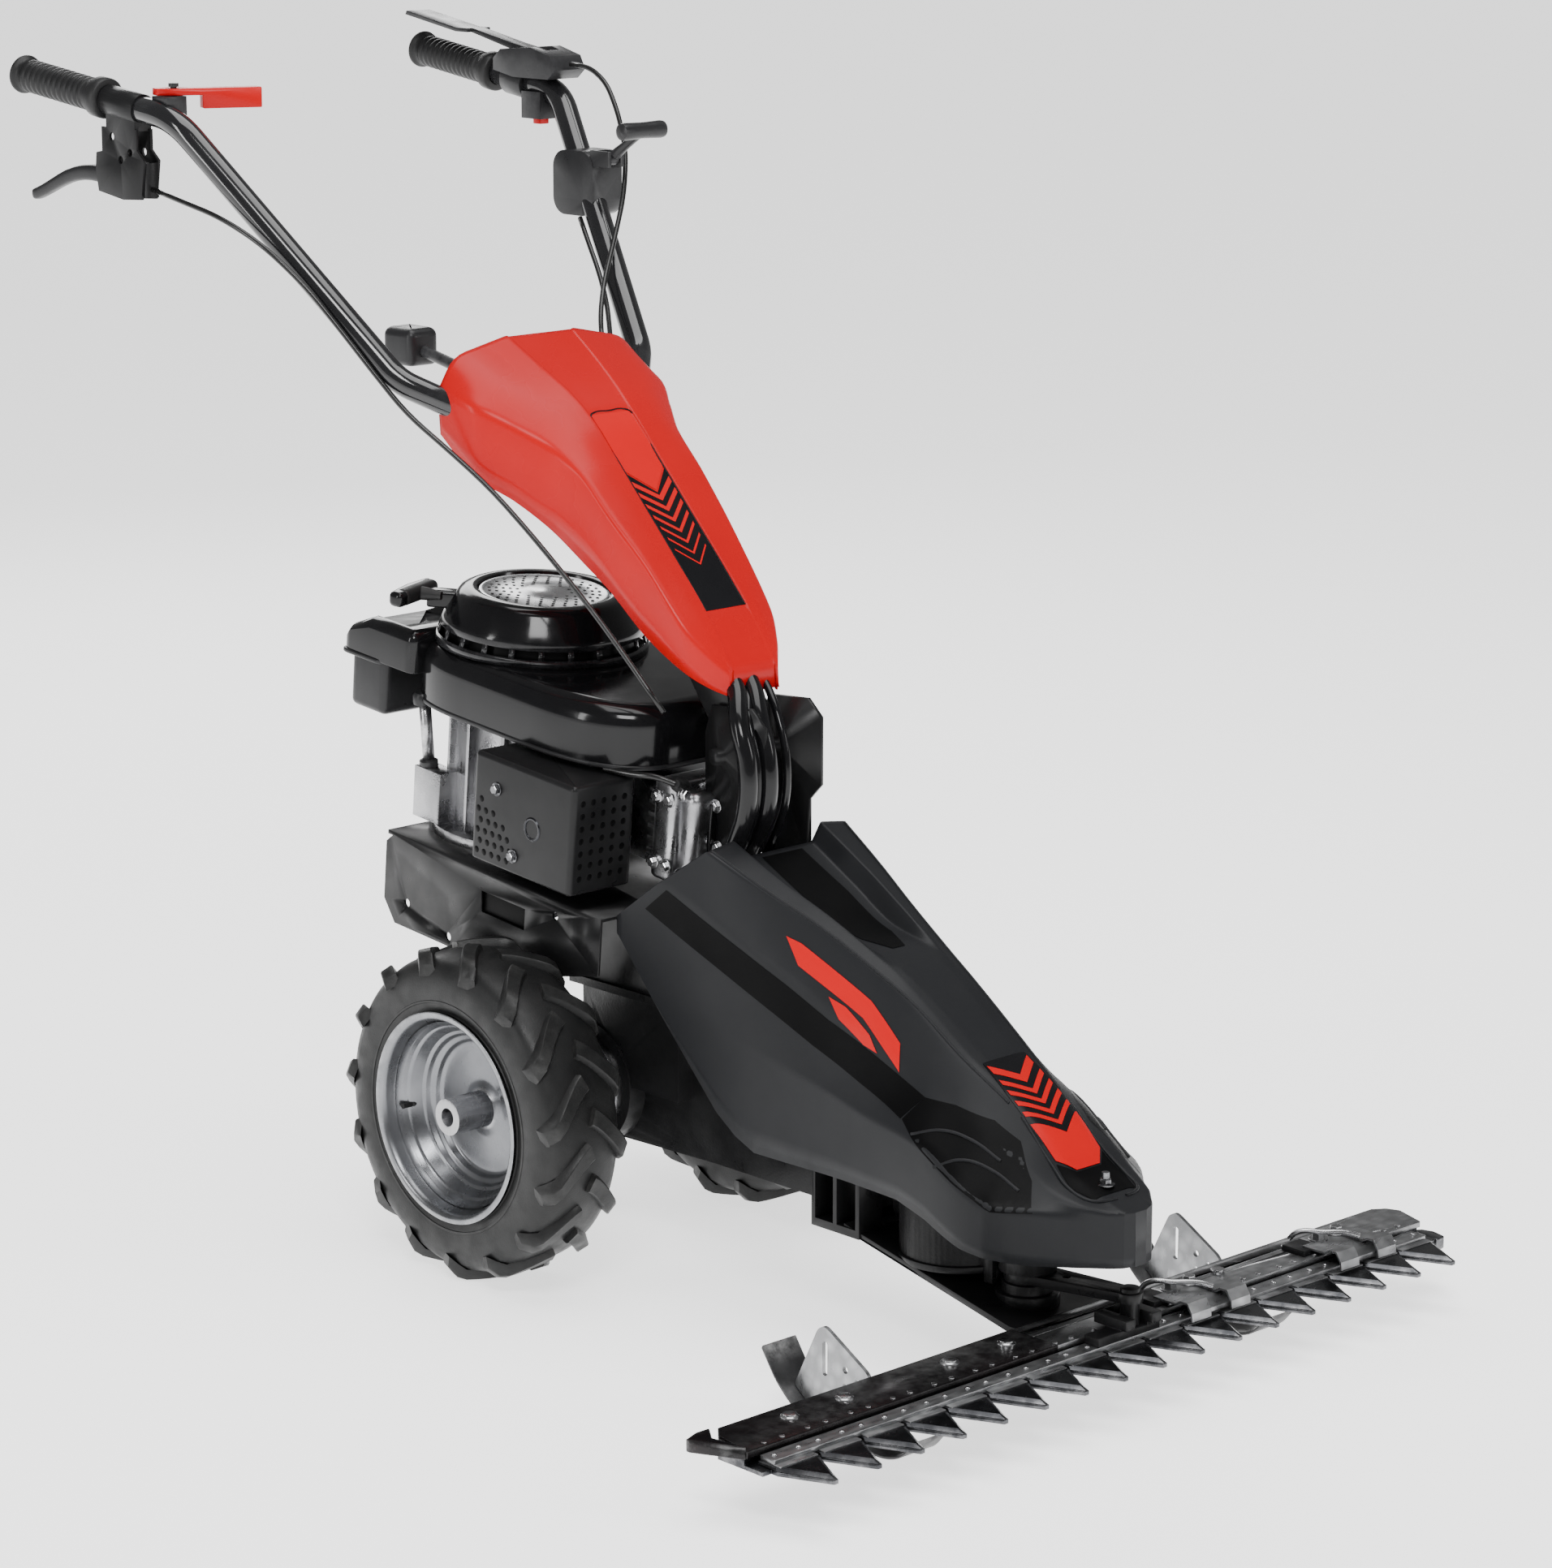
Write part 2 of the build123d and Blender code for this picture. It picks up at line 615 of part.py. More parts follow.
parts["front_cover"] = front_cover()

# ---------- mast bracket and mast ----------
BRACKET_NEAR_X = -23
BRACKET_FAR_X = 46
BRACKET_T = 4
PIVOT_PIN_R = 8


def mast_bracket():
    """Two fixed plates rising from the gearbox, joined by a foot, a web and the pivot bolt."""
    line = [(-160, 474), (-176, 490), (-176, 556), (-158, 572), (-104, 568), (-94, 540), (-94, 300),
            (-120, 196), (-160, 196)]
    far = side_plate(line, BRACKET_FAR_X, BRACKET_FAR_X + BRACKET_T)
    near = side_plate(line, BRACKET_NEAR_X - BRACKET_T, BRACKET_NEAR_X)
    plates = far + near
    foot = box(BRACKET_NEAR_X, BRACKET_FAR_X, -160, -120, 196, 204)
    web = box(BRACKET_NEAR_X, BRACKET_FAR_X, -160, -155, 204, 420)
    bolt = rod_x(PIVOT_PIN_R, BRACKET_NEAR_X - 12, BRACKET_FAR_X + 12, PIVOT_Y, PIVOT_Z)
    return plates + foot + web + bolt


def mast():
    """Box-section steering mast from the pivot up to the handlebar clamp."""
    line = [(PIVOT_Y - 16, PIVOT_Z - 18), (PIVOT_Y + 16, PIVOT_Z - 18), (PIVOT_Y + 20, PIVOT_Z + 25),
            (-60, 592), (96, 712), (128, 768), (116, 800), (76, 800), (60, 762), (PIVOT_Y - 18, PIVOT_Z + 48)]
    body = side_plate(line, -MAST_HALF_W, MAST_HALF_W)
    hollow_line = [(PIVOT_Y + 12, PIVOT_Z + 32), (-64, 596), (88, 716), (118, 768), (110, 790), (82, 790),
                   (66, 758), (PIVOT_Y - 10, PIVOT_Z + 50)]
    hollow = side_plate(hollow_line, -MAST_HALF_W + 3, MAST_HALF_W - 3)
    bore = rod_x(PIVOT_PIN_R + RUNNING_GAP, -60, 60, PIVOT_Y, PIVOT_Z)
    return body - hollow - bore


parts["mast_bracket"] = mast_bracket()
parts["mast"] = mast()

# ---------- hood ----------


def hood_half(flat_w, flat_z, shoulder_w, shoulder_z, edge_w, edge_z, low_w, low_z):
    """Half a cross-section: flat top, shoulder, edge and hem."""
    return [(0, flat_z), (flat_w, flat_z), (shoulder_w, shoulder_z), (edge_w, edge_z), (low_w, low_z)]


HOOD_SECTIONS = [
    (174, hood_half(42, 893, 110, 880, 130, 848, 127, 806)),
    (133, hood_half(37, 869, 98, 858, 124, 838, 121, 770)),
    (96, hood_half(31, 846, 76, 838, 103, 820, 99, 746)),
    (59, hood_half(27, 816, 60, 812, 82, 799, 79, 716)),
    (30, hood_half(27, 786, 52, 785, 75, 780, 73, 694)),
    (-5, hood_half(27, 750, 48, 750, 72, 746, 69, 670)),
    (-50, hood_half(27, 704, 44, 704, 65, 702, 60, 628)),
    (-94, hood_half(27, 658, 40, 658, 60, 650, 52, 600)),
    (-116, hood_half(27, 630, 36, 630, 48, 624, 42, 588)),
    (-133, hood_half(27, 606, 29, 605, 32, 603, 30, 580)),
]
HOOD_WALL = 3
HOOD_HEM = 60


def hood():
    """Thin moulded shell: the sections are closed outside, and hollowed from below."""
    outer = []
    inner = []
    for i, (y, half) in enumerate(HOOD_SECTIONS):
        outer.append((y, symmetric(half)))
        drawn = [(max(x - HOOD_WALL, 0), z - HOOD_WALL * 1.4) for x, z in half]
        drawn[-1] = (drawn[-1][0], half[-1][1] - HOOD_HEM)
        shift = HOOD_WALL if i == len(HOOD_SECTIONS) - 1 else 0
        if i == 0:
            shift = 10
        inner.append((y + shift, symmetric(drawn)))
    shell = lofted(outer) - lofted(inner)
    notch = box(-140, -102, 146, 200, 810, 868) + box(102, 140, 146, 200, 810, 868)
    return shell - notch


parts["hood"] = hood()

# ---------- handlebars ----------
TUBE_POINTS = [(256, 655, 1128.5), (246, 428, 1099), (155, 202, 857), (42, 92, 786)]
TUBE_BENDS = [70, 60]
TUBE_SEAT_R = TUBE_R + 0.02


def tube_path(sign):
    points = [(sign * x, y, z) for x, y, z in TUBE_POINTS]
    return FilletPolyline(*points, radius=TUBE_BENDS)


def handlebar(sign):
    return tube(tube_path(sign), TUBE_R, TUBE_WALL)


def solid_tube(sign):
    """The handlebar as a full rod, to cut seats for what is clamped on it."""
    return tube(tube_path(sign), TUBE_SEAT_R)


def on_grip_run(sign, y):
    """Point of the tube's centre line on its rear run."""
    (x0, y0, z0), (x1, y1, z1) = TUBE_POINTS[0], TUBE_POINTS[1]
    share = (y - y0) / (y1 - y0)
    return Vector(sign * (x0 + (x1 - x0) * share), y, z0 + (z1 - z0) * share)


def sleeve(sign, y_rear, y_front, radius):
    """A ring round the rear run of the tube."""
    start = on_grip_run(sign, y_rear)
    axis = on_grip_run(sign, y_front) - start
    frame = Location(Plane(origin=start, z_dir=axis))
    ring = Cylinder(radius, axis.length) - Cylinder(TUBE_SEAT_R, axis.length + 2)
    return frame * (Pos(0, 0, axis.length / 2) * ring)


def grip(sign):
    """Rubber grip with an end flange and an inner collar."""
    start = on_grip_run(sign, 667.4)
    axis = on_grip_run(sign, 532) - start
    length = axis.length
    frame = Location(Plane(origin=start, z_dir=axis))
    body = Pos(0, 0, length / 2) * Cylinder(GRIP_R, length)
    flange = Pos(0, 0, 3) * Cylinder(GRIP_R + 3, 6)
    collar = Pos(0, 0, length - 7) * Cylinder(GRIP_R + 4, 14)
    hollow = Pos(0, 0, length / 2 + 6) * Cylinder(TUBE_SEAT_R, length)
    return frame * (body + flange + collar - hollow)


for side, sign in (("left", 1), ("right", -1)):
    parts["handlebar_" + side] = handlebar(sign)
    parts["grip_" + side] = grip(sign)

# ---------- controls on the operator's right ----------
RIGHT_X = -247
CLUTCH_PIVOT_Y = 524
CLUTCH_PIVOT_Z = 1031


def clutch_bracket():
    """Two drilled cheeks that hang below the tube and hold the clutch lever."""
    line = [(536, 1086), (536, 1062), (546, 1060), (548, 1044), (544, 1022), (503, 1016), (472, 1018),
            (466, 1056), (478, 1066), (478, 1086)]
    cheeks = side_plate(line, RIGHT_X + 7, RIGHT_X + 10) + side_plate(line, RIGHT_X - 10, RIGHT_X - 7)
    holes = [rod_x(4, RIGHT_X - 20, RIGHT_X + 20, y, z) for y, z in ((519, 1077), (489, 1063), (505, 1055))]
    clamp = sleeve(-1, 530, 478, TUBE_R + 1.8)
    end = box(RIGHT_X - 7, RIGHT_X + 7, 466, 474, 1020, 1054)
    pin = rod_x(3.5, RIGHT_X - 7, RIGHT_X + 7, CLUTCH_PIVOT_Y, CLUTCH_PIVOT_Z)
    neck = box(RIGHT_X - 10, RIGHT_X + 10, 480, 528, 1084, 1106) - solid_tube(-1)
    return cheeks + clamp + neck + end + pin - holes


def clutch_lever():
    """Curved finger lever, squeezed up towards the grip."""
    upper = [(508, 1040), (540, 1043), (572, 1045), (604, 1040), (640, 1027), (662, 1019), (670, 1012)]
    lower = [(668, 1005), (660, 1005), (636, 1014), (604, 1026), (570, 1030), (540, 1024), (508, 1022)]
    blade = side_plate(upper + lower, RIGHT_X - 6.5, RIGHT_X + 6.5)
    bore = rod_x(3.5 + RUNNING_GAP, RIGHT_X - 20, RIGHT_X + 20, CLUTCH_PIVOT_Y, CLUTCH_PIVOT_Z)
    room = box(RIGHT_X - 20, RIGHT_X + 20, 460, 509.5, 1000, 1060)
    return blade - bore - room


SAFETY_PIVOT = (-232, 448, 1124)


def safety_lever():
    """Red lever that swings beside the tube on an upright pin, with a deep finger block at its end."""
    arm_line = [(-247, 455), (-244, 467), (-228, 462), (-204, 444), (-210, 430), (-234, 442)]
    arm = plan_plate(arm_line, 1120, 1127)
    block = plan_plate([(-210, 430), (-204, 444), (-152, 418), (-157, 405)], 1107, 1127)
    bore = rod_z(3 + RUNNING_GAP, 1110, 1136, SAFETY_PIVOT[0], SAFETY_PIVOT[1])
    return arm + block - bore


def safety_pin():
    """Upright pin and saddle that carry the red paddle."""
    x, y, z = SAFETY_PIVOT
    pin = rod_z(3, 1108, 1131, x, y)
    head = rod_z(5, 1128.5, 1132, x, y)
    saddle = box(x - 16, x + 8, y - 10, y + 14, 1100, 1119.5)
    return saddle + pin + head - solid_tube(-1)


parts["clutch_bracket"] = clutch_bracket()
parts["clutch_lever"] = clutch_lever()
parts["safety_lever"] = safety_lever()
parts["safety_pin"] = safety_pin()

# ---------- controls on the operator's left ----------
LEFT_X = 247
DRIVE_PIVOT_Y = 474
DRIVE_PIVOT_Z = 1134


def drive_lever_housing():
    """Clamp, side cheeks and sloping cover of the drive lever."""
    clamp = sleeve(1, 508, 474, TUBE_R + 5)
    line = [(512, 1118), (512, 1130), (500, 1140), (452, 1144), (420, 1136), (412, 1122), (424, 1112),
            (480, 1112)]
    shell = side_plate(line, LEFT_X - 21, LEFT_X + 21)
    shell -= box(LEFT_X - 9, LEFT_X + 9, 440, 520, 1126, 1150)
    pin = rod_x(3.5, LEFT_X - 9, LEFT_X + 9, DRIVE_PIVOT_Y, DRIVE_PIVOT_Z)
    return clamp + (shell - solid_tube(1)) + pin


def drive_lever():
    """Flat paddle above the grip, pressed down to drive."""
    line = [(452, 1130), (452, 1139), (496, 1146), (560, 1158), (578, 1158), (662, 1172), (664, 1168),
            (580, 1154), (562, 1154), (500, 1140), (484, 1129)]
    hub = side_plate(line, LEFT_X - 8.5, LEFT_X + 8.5)
    paddle = side_plate([(560, 1154), (560, 1158), (578, 1158), (662, 1172), (664, 1168), (580, 1154)],
                        LEFT_X - 16, LEFT_X + 16)
    bore = rod_x(3.5 + RUNNING_GAP, LEFT_X - 20, LEFT_X + 20, DRIVE_PIVOT_Y, DRIVE_PIVOT_Z)
    return hub + paddle - bore


LEG_X = 214
LEG_Y = 348
LEG_Z = 1013
THROTTLE_X = LEG_X - 8
THROTTLE_PIVOT_Y = 302
THROTTLE_PIVOT_Z = 1040


def throttle_housing():
    """Clamshell clamped round the sloping leg of the left tube, with two ears for the lever."""
    body = fillet((Pos(LEG_X, LEG_Y, LEG_Z) * Box(40, 62, 66)).edges().filter_by(Axis.X), 18)
    ears = box(THROTTLE_X - 11, THROTTLE_X + 11, 294, 322, 1032, 1048)
    ears -= box(THROTTLE_X - 6.3, THROTTLE_X + 6.3, 290, 316, 1030, 1050)
    pin = rod_x(3, THROTTLE_X - 11, THROTTLE_X + 11, THROTTLE_PIVOT_Y, THROTTLE_PIVOT_Z)
    return (body + ears + pin) - solid_tube(1)


def throttle_lever():
    """T-shaped thumb lever on a stem."""
    x = THROTTLE_X
    hub = rod_x(6.5, x - 6, x + 6, THROTTLE_PIVOT_Y, THROTTLE_PIVOT_Z)
    stem_line = [(306, 1045), (298, 1047), (262, 1074), (254, 1066), (292, 1036), (300, 1035)]
    stem = side_plate(stem_line, x - 6, x + 6)
    cross = rod_x(9, x - 29, x + 29, 254, 1072)
    bore = rod_x(3 + RUNNING_GAP, x - 20, x + 20, THROTTLE_PIVOT_Y, THROTTLE_PIVOT_Z)
    return hub + stem + cross - bore


STOP_X = LEFT_X - 4


def stop_switch():
    """Small switch box under the left tube."""
    x = STOP_X
    body = box(x - 14, x + 14, 440, 470, 1070, 1098) - solid_tube(1)
    return body - box(x - 6.3, x + 6.3, 448.7, 461.3, 1066, 1077)


def stop_button():
    return box(STOP_X - 6, STOP_X + 6, 449, 461, 1064, 1073)


parts["drive_lever_housing"] = drive_lever_housing()
parts["drive_lever"] = drive_lever()
parts["throttle_housing"] = throttle_housing()
parts["throttle_lever"] = throttle_lever()
parts["stop_switch"] = stop_switch()
parts["stop_button"] = stop_button()

# ---------- shift rod ----------


def shift_lever():
    """Shift rod that leaves the back of the hood, with its knob."""
    path = Line((0, 150, 816), (0, 360, 858))
    rod = tube(path, 6)
    knob = fillet((Pos(0, 376, 861) * Box(38, 46, 38)).edges(), 8)
    return rod + knob


parts["shift_lever"] = shift_lever()

# ---------- Bowden cables ----------
CABLES = {
    "clutch_cable": [(-247, 465.5, 1028), (-247, 420, 1020), (-240, 366, 1008), (-226, 318, 984),
                     (-206, 278, 946), (-190, 246, 906), (-176, 216, 868), (-160, 184, 828),
                     (-140, 148, 796), (-122, 108, 762), (-108, 66, 722), (-98, 26, 684),
                     (-90, -14, 646), (-84, -54, 606), (-78, -92, 566)],
    "drive_cable": [(247, 411, 1128), (247, 380, 1126), (243, 350, 1112), (237, 326, 1084), (230, 306, 1048),
                    (210, 286, 1006), (180, 268, 962), (150, 250, 924), (120, 222, 894), (92, 186, 868)],
    "throttle_cable": [(188, 330, 979), (178, 306, 957), (166, 276, 930), (150, 246, 903), (126, 214, 879),
                       (98, 180, 858)],
}
for name, points in CABLES.items():
    path, radii = route(points)
    shape = tube(path, CABLE_R)
    exact = math.pi * CABLE_R ** 2 * path.length
    print(name, "length", round(path.length, 1), "radii", [round(r) for r in radii],
          "volume ratio", round(shape.volume / exact, 4))
    parts[name] = shape

# ---------- export ----------
os.makedirs("parts", exist_ok=True)
for name, shape in parts.items():
    if isinstance(shape, (list, tuple)):
        shape = Compound(children=list(shape))
    export_step(shape, f"parts/{name}.step")
print(len(parts), "nodes")
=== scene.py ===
import json
import math

import bmesh
import bpy
from mathutils import Matrix, Vector
from mathutils.bvhtree import BVHTree


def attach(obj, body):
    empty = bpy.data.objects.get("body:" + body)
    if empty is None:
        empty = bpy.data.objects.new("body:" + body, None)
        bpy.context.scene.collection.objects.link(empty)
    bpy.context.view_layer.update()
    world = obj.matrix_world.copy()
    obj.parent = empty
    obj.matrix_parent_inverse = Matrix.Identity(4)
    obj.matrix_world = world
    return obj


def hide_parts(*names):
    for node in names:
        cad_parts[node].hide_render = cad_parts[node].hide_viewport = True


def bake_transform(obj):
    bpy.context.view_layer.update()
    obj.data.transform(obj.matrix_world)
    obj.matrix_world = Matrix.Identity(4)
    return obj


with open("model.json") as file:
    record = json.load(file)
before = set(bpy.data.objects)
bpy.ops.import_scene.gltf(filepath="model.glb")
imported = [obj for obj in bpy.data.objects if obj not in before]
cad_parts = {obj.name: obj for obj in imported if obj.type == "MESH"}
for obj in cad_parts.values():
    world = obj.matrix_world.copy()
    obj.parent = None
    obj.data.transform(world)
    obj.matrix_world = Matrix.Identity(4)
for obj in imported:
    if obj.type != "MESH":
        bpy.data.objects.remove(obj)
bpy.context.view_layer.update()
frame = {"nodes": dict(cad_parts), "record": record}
NODES = frame["nodes"]
MM = 0.001

# Places in millimetres: the cutter bar is towards -Y, the operator towards +Y, the left-hand side towards +X
SIDES = (("left", 1), ("right", -1))
WHEEL_X = 178
AXLE_Y = 61
AXLE_Z = 164
TOOTH_PITCH = 50.8
TOOTH_COUNT = 17
SLOT_BOLT_X = (-359, -294, -165, -93)
CLIP_X = (125, 334)
SKID_X = 231
CLUTCH_X = -247
THROTTLE_AT = (206, 254, 1072)
THROTTLE_HUB = (206, 302, 1040)
GUARD_FRONT_Y = -230
GUARD_SIDE_X = -150
LID_EDGE_Z = 168
LID_SLOPE_Y = 150
LID_SLOPE_RUN = 24
HEX = 6
ORIGIN = (0, 0, 0)
UP = (0, 0, 1)

# ---------- camera
CAMERA_AT = (-2.919, -3.272, 1.489)
LENS = 106.23
SENSOR_WIDTH = 36
AZIMUTH = math.radians(-43.2)
ELEVATION = math.radians(13.1)
back = Vector((math.sin(AZIMUTH) * math.cos(ELEVATION), -math.cos(AZIMUTH) * math.cos(ELEVATION),
               math.sin(ELEVATION)))
camera_data = bpy.data.cameras.new("camera")
camera_data.lens = LENS
camera_data.sensor_width = SENSOR_WIDTH
camera = bpy.data.objects.new("camera", camera_data)
camera.location = CAMERA_AT
camera.rotation_mode = "QUATERNION"
camera.rotation_quaternion = (-back).to_track_quat("-Z", "Y")
bpy.context.scene.collection.objects.link(camera)
bpy.context.scene.camera = camera


# ---------- materials
FINISHES = {}
COAT_ROUGHNESS = 0.08


def principled(name):
    material = bpy.data.materials.new(name)
    material.use_nodes = True
    tree = material.node_tree
    FINISHES[name] = material
    return tree, tree.nodes["Principled BSDF"]


def noise(tree, scale, detail=4, rough=0.6, stretch=(1, 1, 1)):
    """Noise in object space; scale is in cycles per metre."""
    coords = tree.nodes.new("ShaderNodeTexCoord")
    mapping = tree.nodes.new("ShaderNodeMapping")
    mapping.inputs["Scale"].default_value = stretch
    texture = tree.nodes.new("ShaderNodeTexNoise")
    texture.inputs["Scale"].default_value = scale
    texture.inputs["Detail"].default_value = detail
    texture.inputs["Roughness"].default_value = rough
    tree.links.new(coords.outputs["Object"], mapping.inputs["Vector"])
    tree.links.new(mapping.outputs["Vector"], texture.inputs["Vector"])
    return texture


def ramp(tree, source, low, high, a, b):
    """Maps source from low..high to a..b."""
    node = tree.nodes.new("ShaderNodeMapRange")
    node.inputs["From Min"].default_value = low
    node.inputs["From Max"].default_value = high
    node.inputs["To Min"].default_value = a
    node.inputs["To Max"].default_value = b
    tree.links.new(source, node.inputs["Value"])
    return node.outputs["Result"]


def mixed(tree, factor, a, b):
    """Colour mix; a and b are colours or colour sockets."""
    node = tree.nodes.new("ShaderNodeMix")
    node.data_type = "RGBA"
    for socket, colour in ((6, a), (7, b)):
        if isinstance(colour, tuple):
            node.inputs[socket].default_value = (*colour, 1)
        else:
            tree.links.new(colour, node.inputs[socket])
    tree.links.new(factor, node.inputs[0])
    return node.outputs[2]


def bumped(tree, shader, grain, strength, depth, stretch):
    fine = noise(tree, grain, 2, 0.5, stretch)
    lump = tree.nodes.new("ShaderNodeBump")
    lump.inputs["Strength"].default_value = strength
    lump.inputs["Distance"].default_value = depth
    tree.links.new(fine.outputs["Fac"], lump.inputs["Height"])
    tree.links.new(lump.outputs["Normal"], shader.inputs["Normal"])


def finish(name, base, second, rough, spread=0.08, metal=0.0, grain=900, bump=0.1, depth=0.0002, coat=0.0,
           edge=None, blotch=14, stretch=(1, 1, 1), spec=0.28):
    """A procedural finish: two-tone colour, varied roughness, fine grain, and brighter worn edges."""
    tree, shader = principled(name)
    cloud = noise(tree, blotch, 5, 0.6, stretch)
    colour = mixed(tree, ramp(tree, cloud.outputs["Fac"], 0.35, 0.65, 0, 1), base, second)
    if edge:
        geometry = tree.nodes.new("ShaderNodeNewGeometry")
        scuff = noise(tree, 60, 4, 0.7)
        worn = tree.nodes.new("ShaderNodeMath")
        worn.operation = "MULTIPLY"
        tree.links.new(ramp(tree, geometry.outputs["Pointiness"], 0.53, 0.60, 0, 1), worn.inputs[0])
        tree.links.new(ramp(tree, scuff.outputs["Fac"], 0.4, 0.7, 0.1, 0.9), worn.inputs[1])
        colour = mixed(tree, worn.outputs[0], colour, edge)
    tree.links.new(colour, shader.inputs["Base Color"])
    smear = noise(tree, blotch * 2.7, 3, 0.5, stretch)
    tree.links.new(ramp(tree, smear.outputs["Fac"], 0.3, 0.7, rough - spread, rough + spread),
                   shader.inputs["Roughness"])
    shader.inputs["Metallic"].default_value = metal
    shader.inputs["Specular IOR Level"].default_value = spec
    shader.inputs["Coat Weight"].default_value = coat
    shader.inputs["Coat Roughness"].default_value = COAT_ROUGHNESS
    bumped(tree, shader, grain, bump, depth, stretch)


finish("red_plastic", (0.50, 0.004, 0.006), (0.46, 0.0035, 0.0055), 0.27, 0.04, grain=500, bump=0.03,
       spec=0.16, blotch=5)
finish("black_plastic", (0.012, 0.012, 0.013), (0.017, 0.017, 0.018), 0.34, 0.07, grain=1400, bump=0.18,
       depth=0.00015, edge=(0.05, 0.05, 0.052))
finish("gloss_plastic", (0.004, 0.004, 0.0046), (0.006, 0.006, 0.0066), 0.15, 0.05, grain=700, bump=0.05,
       coat=0.12, edge=(0.03, 0.03, 0.032), spec=0.22)
finish("grey_plastic", (0.0115, 0.0120, 0.0135), (0.0135, 0.0140, 0.0155), 0.42, 0.05, grain=1500, bump=0.25,
       depth=0.0002, edge=(0.022, 0.0225, 0.024), blotch=6, spec=0.16)
# near-black, barely glossy dark used as painted shade in recesses, holes, windows and behind slots
finish("pocket_plastic", (0.0015, 0.0015, 0.0017), (0.002, 0.002, 0.0022), 0.4, 0.06, grain=1500, bump=0.25,
       depth=0.0002, blotch=8, spec=0.07)
finish("gloss_black_paint", (0.008, 0.008, 0.009), (0.011, 0.011, 0.012), 0.14, 0.05, grain=260, bump=0.06,
       depth=0.0004, coat=0.7, edge=(0.03, 0.03, 0.032))
finish("black_steel", (0.008, 0.008, 0.0085), (0.011, 0.011, 0.0115), 0.34, 0.07, grain=800, bump=0.12,
       spec=0.2)
finish("black_casting", (0.008, 0.008, 0.0085), (0.013, 0.013, 0.0135), 0.36, 0.1, grain=420, bump=0.4,
       depth=0.0004, edge=(0.03, 0.03, 0.03), spec=0.2)
finish("silver_paint", (0.17, 0.174, 0.184), (0.21, 0.214, 0.224), 0.29, 0.07, metal=0.92, grain=1600,
       bump=0.10, edge=(0.6, 0.6, 0.61))
finish("aluminium_casting", (0.40, 0.40, 0.41), (0.26, 0.26, 0.27), 0.30, 0.10, metal=1.0, grain=480,
       bump=0.45, depth=0.0005, edge=(0.75, 0.75, 0.75))
finish("bright_steel", (0.48, 0.48, 0.49), (0.36, 0.36, 0.37), 0.26, 0.08, metal=1.0, grain=700, bump=0.1,
       edge=(0.8, 0.8, 0.8))
finish("knife_steel", (0.035, 0.036, 0.038), (0.06, 0.061, 0.064), 0.32, 0.1, metal=0.7, grain=700,
       bump=0.15, edge=(0.45, 0.45, 0.45), stretch=(1, 6, 1))
finish("skid_steel", (0.010, 0.010, 0.011), (0.03, 0.03, 0.031), 0.34, 0.1, metal=0.2, grain=500, bump=0.2,
       edge=(0.25, 0.25, 0.25))
finish("tyre_rubber", (0.0085, 0.0088, 0.009), (0.012, 0.012, 0.012), 0.46, 0.10, grain=650, bump=0.35,
       depth=0.0004, edge=(0.035, 0.035, 0.034), blotch=20)
finish("belt_rubber", (0.02, 0.02, 0.02), (0.028, 0.028, 0.027), 0.7, grain=900, bump=0.3)
finish("black_rubber", (0.009, 0.009, 0.0095), (0.013, 0.013, 0.013), 0.48, 0.08, grain=1200, bump=0.3,
       edge=(0.03, 0.03, 0.03))
finish("cable_sheath", (0.008, 0.008, 0.008), (0.012, 0.012, 0.012), 0.26, 0.06, grain=900, bump=0.1,
       coat=0.2)
finish("decal_red", (0.60, 0.003, 0.006), (0.56, 0.0028, 0.0055), 0.34, 0.04, grain=900, bump=0.03, blotch=6,
       spec=0.1)
finish("decal_black", (0.006, 0.006, 0.007), (0.009, 0.009, 0.010), 0.22, 0.04, grain=900, bump=0.03,
       blotch=6, spec=0.15)


def zinc_finish(name):
    """Spangled zinc plating."""
    tree, shader = principled(name)
    coords = tree.nodes.new("ShaderNodeTexCoord")
    spangle = tree.nodes.new("ShaderNodeTexVoronoi")
    spangle.inputs["Scale"].default_value = 70
    tree.links.new(coords.outputs["Object"], spangle.inputs["Vector"])
    cloud = noise(tree, 18, 5, 0.6)
    zinc = mixed(tree, ramp(tree, cloud.outputs["Fac"], 0.3, 0.7, 0, 1), (0.30, 0.303, 0.31),
                 (0.46, 0.463, 0.47))
    zinc = mixed(tree, ramp(tree, spangle.outputs["Distance"], 0.0, 0.6, 0.0, 0.5), zinc,
                 (0.10, 0.102, 0.105))
    tree.links.new(zinc, shader.inputs["Base Color"])
    smear = noise(tree, 45, 3, 0.5, (1, 4, 1))
    tree.links.new(ramp(tree, smear.outputs["Fac"], 0.3, 0.7, 0.24, 0.42), shader.inputs["Roughness"])
    shader.inputs["Metallic"].default_value = 0.9
    bumped(tree, shader, 900, 0.12, 0.0002, (1, 5, 1))


zinc_finish("galvanised_steel")
finish("bar_black", (0.006, 0.006, 0.0065), (0.014, 0.010, 0.011), 0.22, 0.07, metal=0.5, grain=600,
       bump=0.12, edge=(0.12, 0.12, 0.12), blotch=9)
finish("blade_dark", (0.022, 0.023, 0.026), (0.05, 0.051, 0.055), 0.24, 0.08, metal=0.9, grain=700,
       bump=0.12, edge=(0.35, 0.35, 0.36), blotch=22)
finish("hub_steel", (0.30, 0.30, 0.31), (0.36, 0.36, 0.37), 0.24, 0.06, metal=1.0, grain=500, bump=0.12,
       edge=(0.6, 0.6, 0.6), stretch=(6, 1, 1))


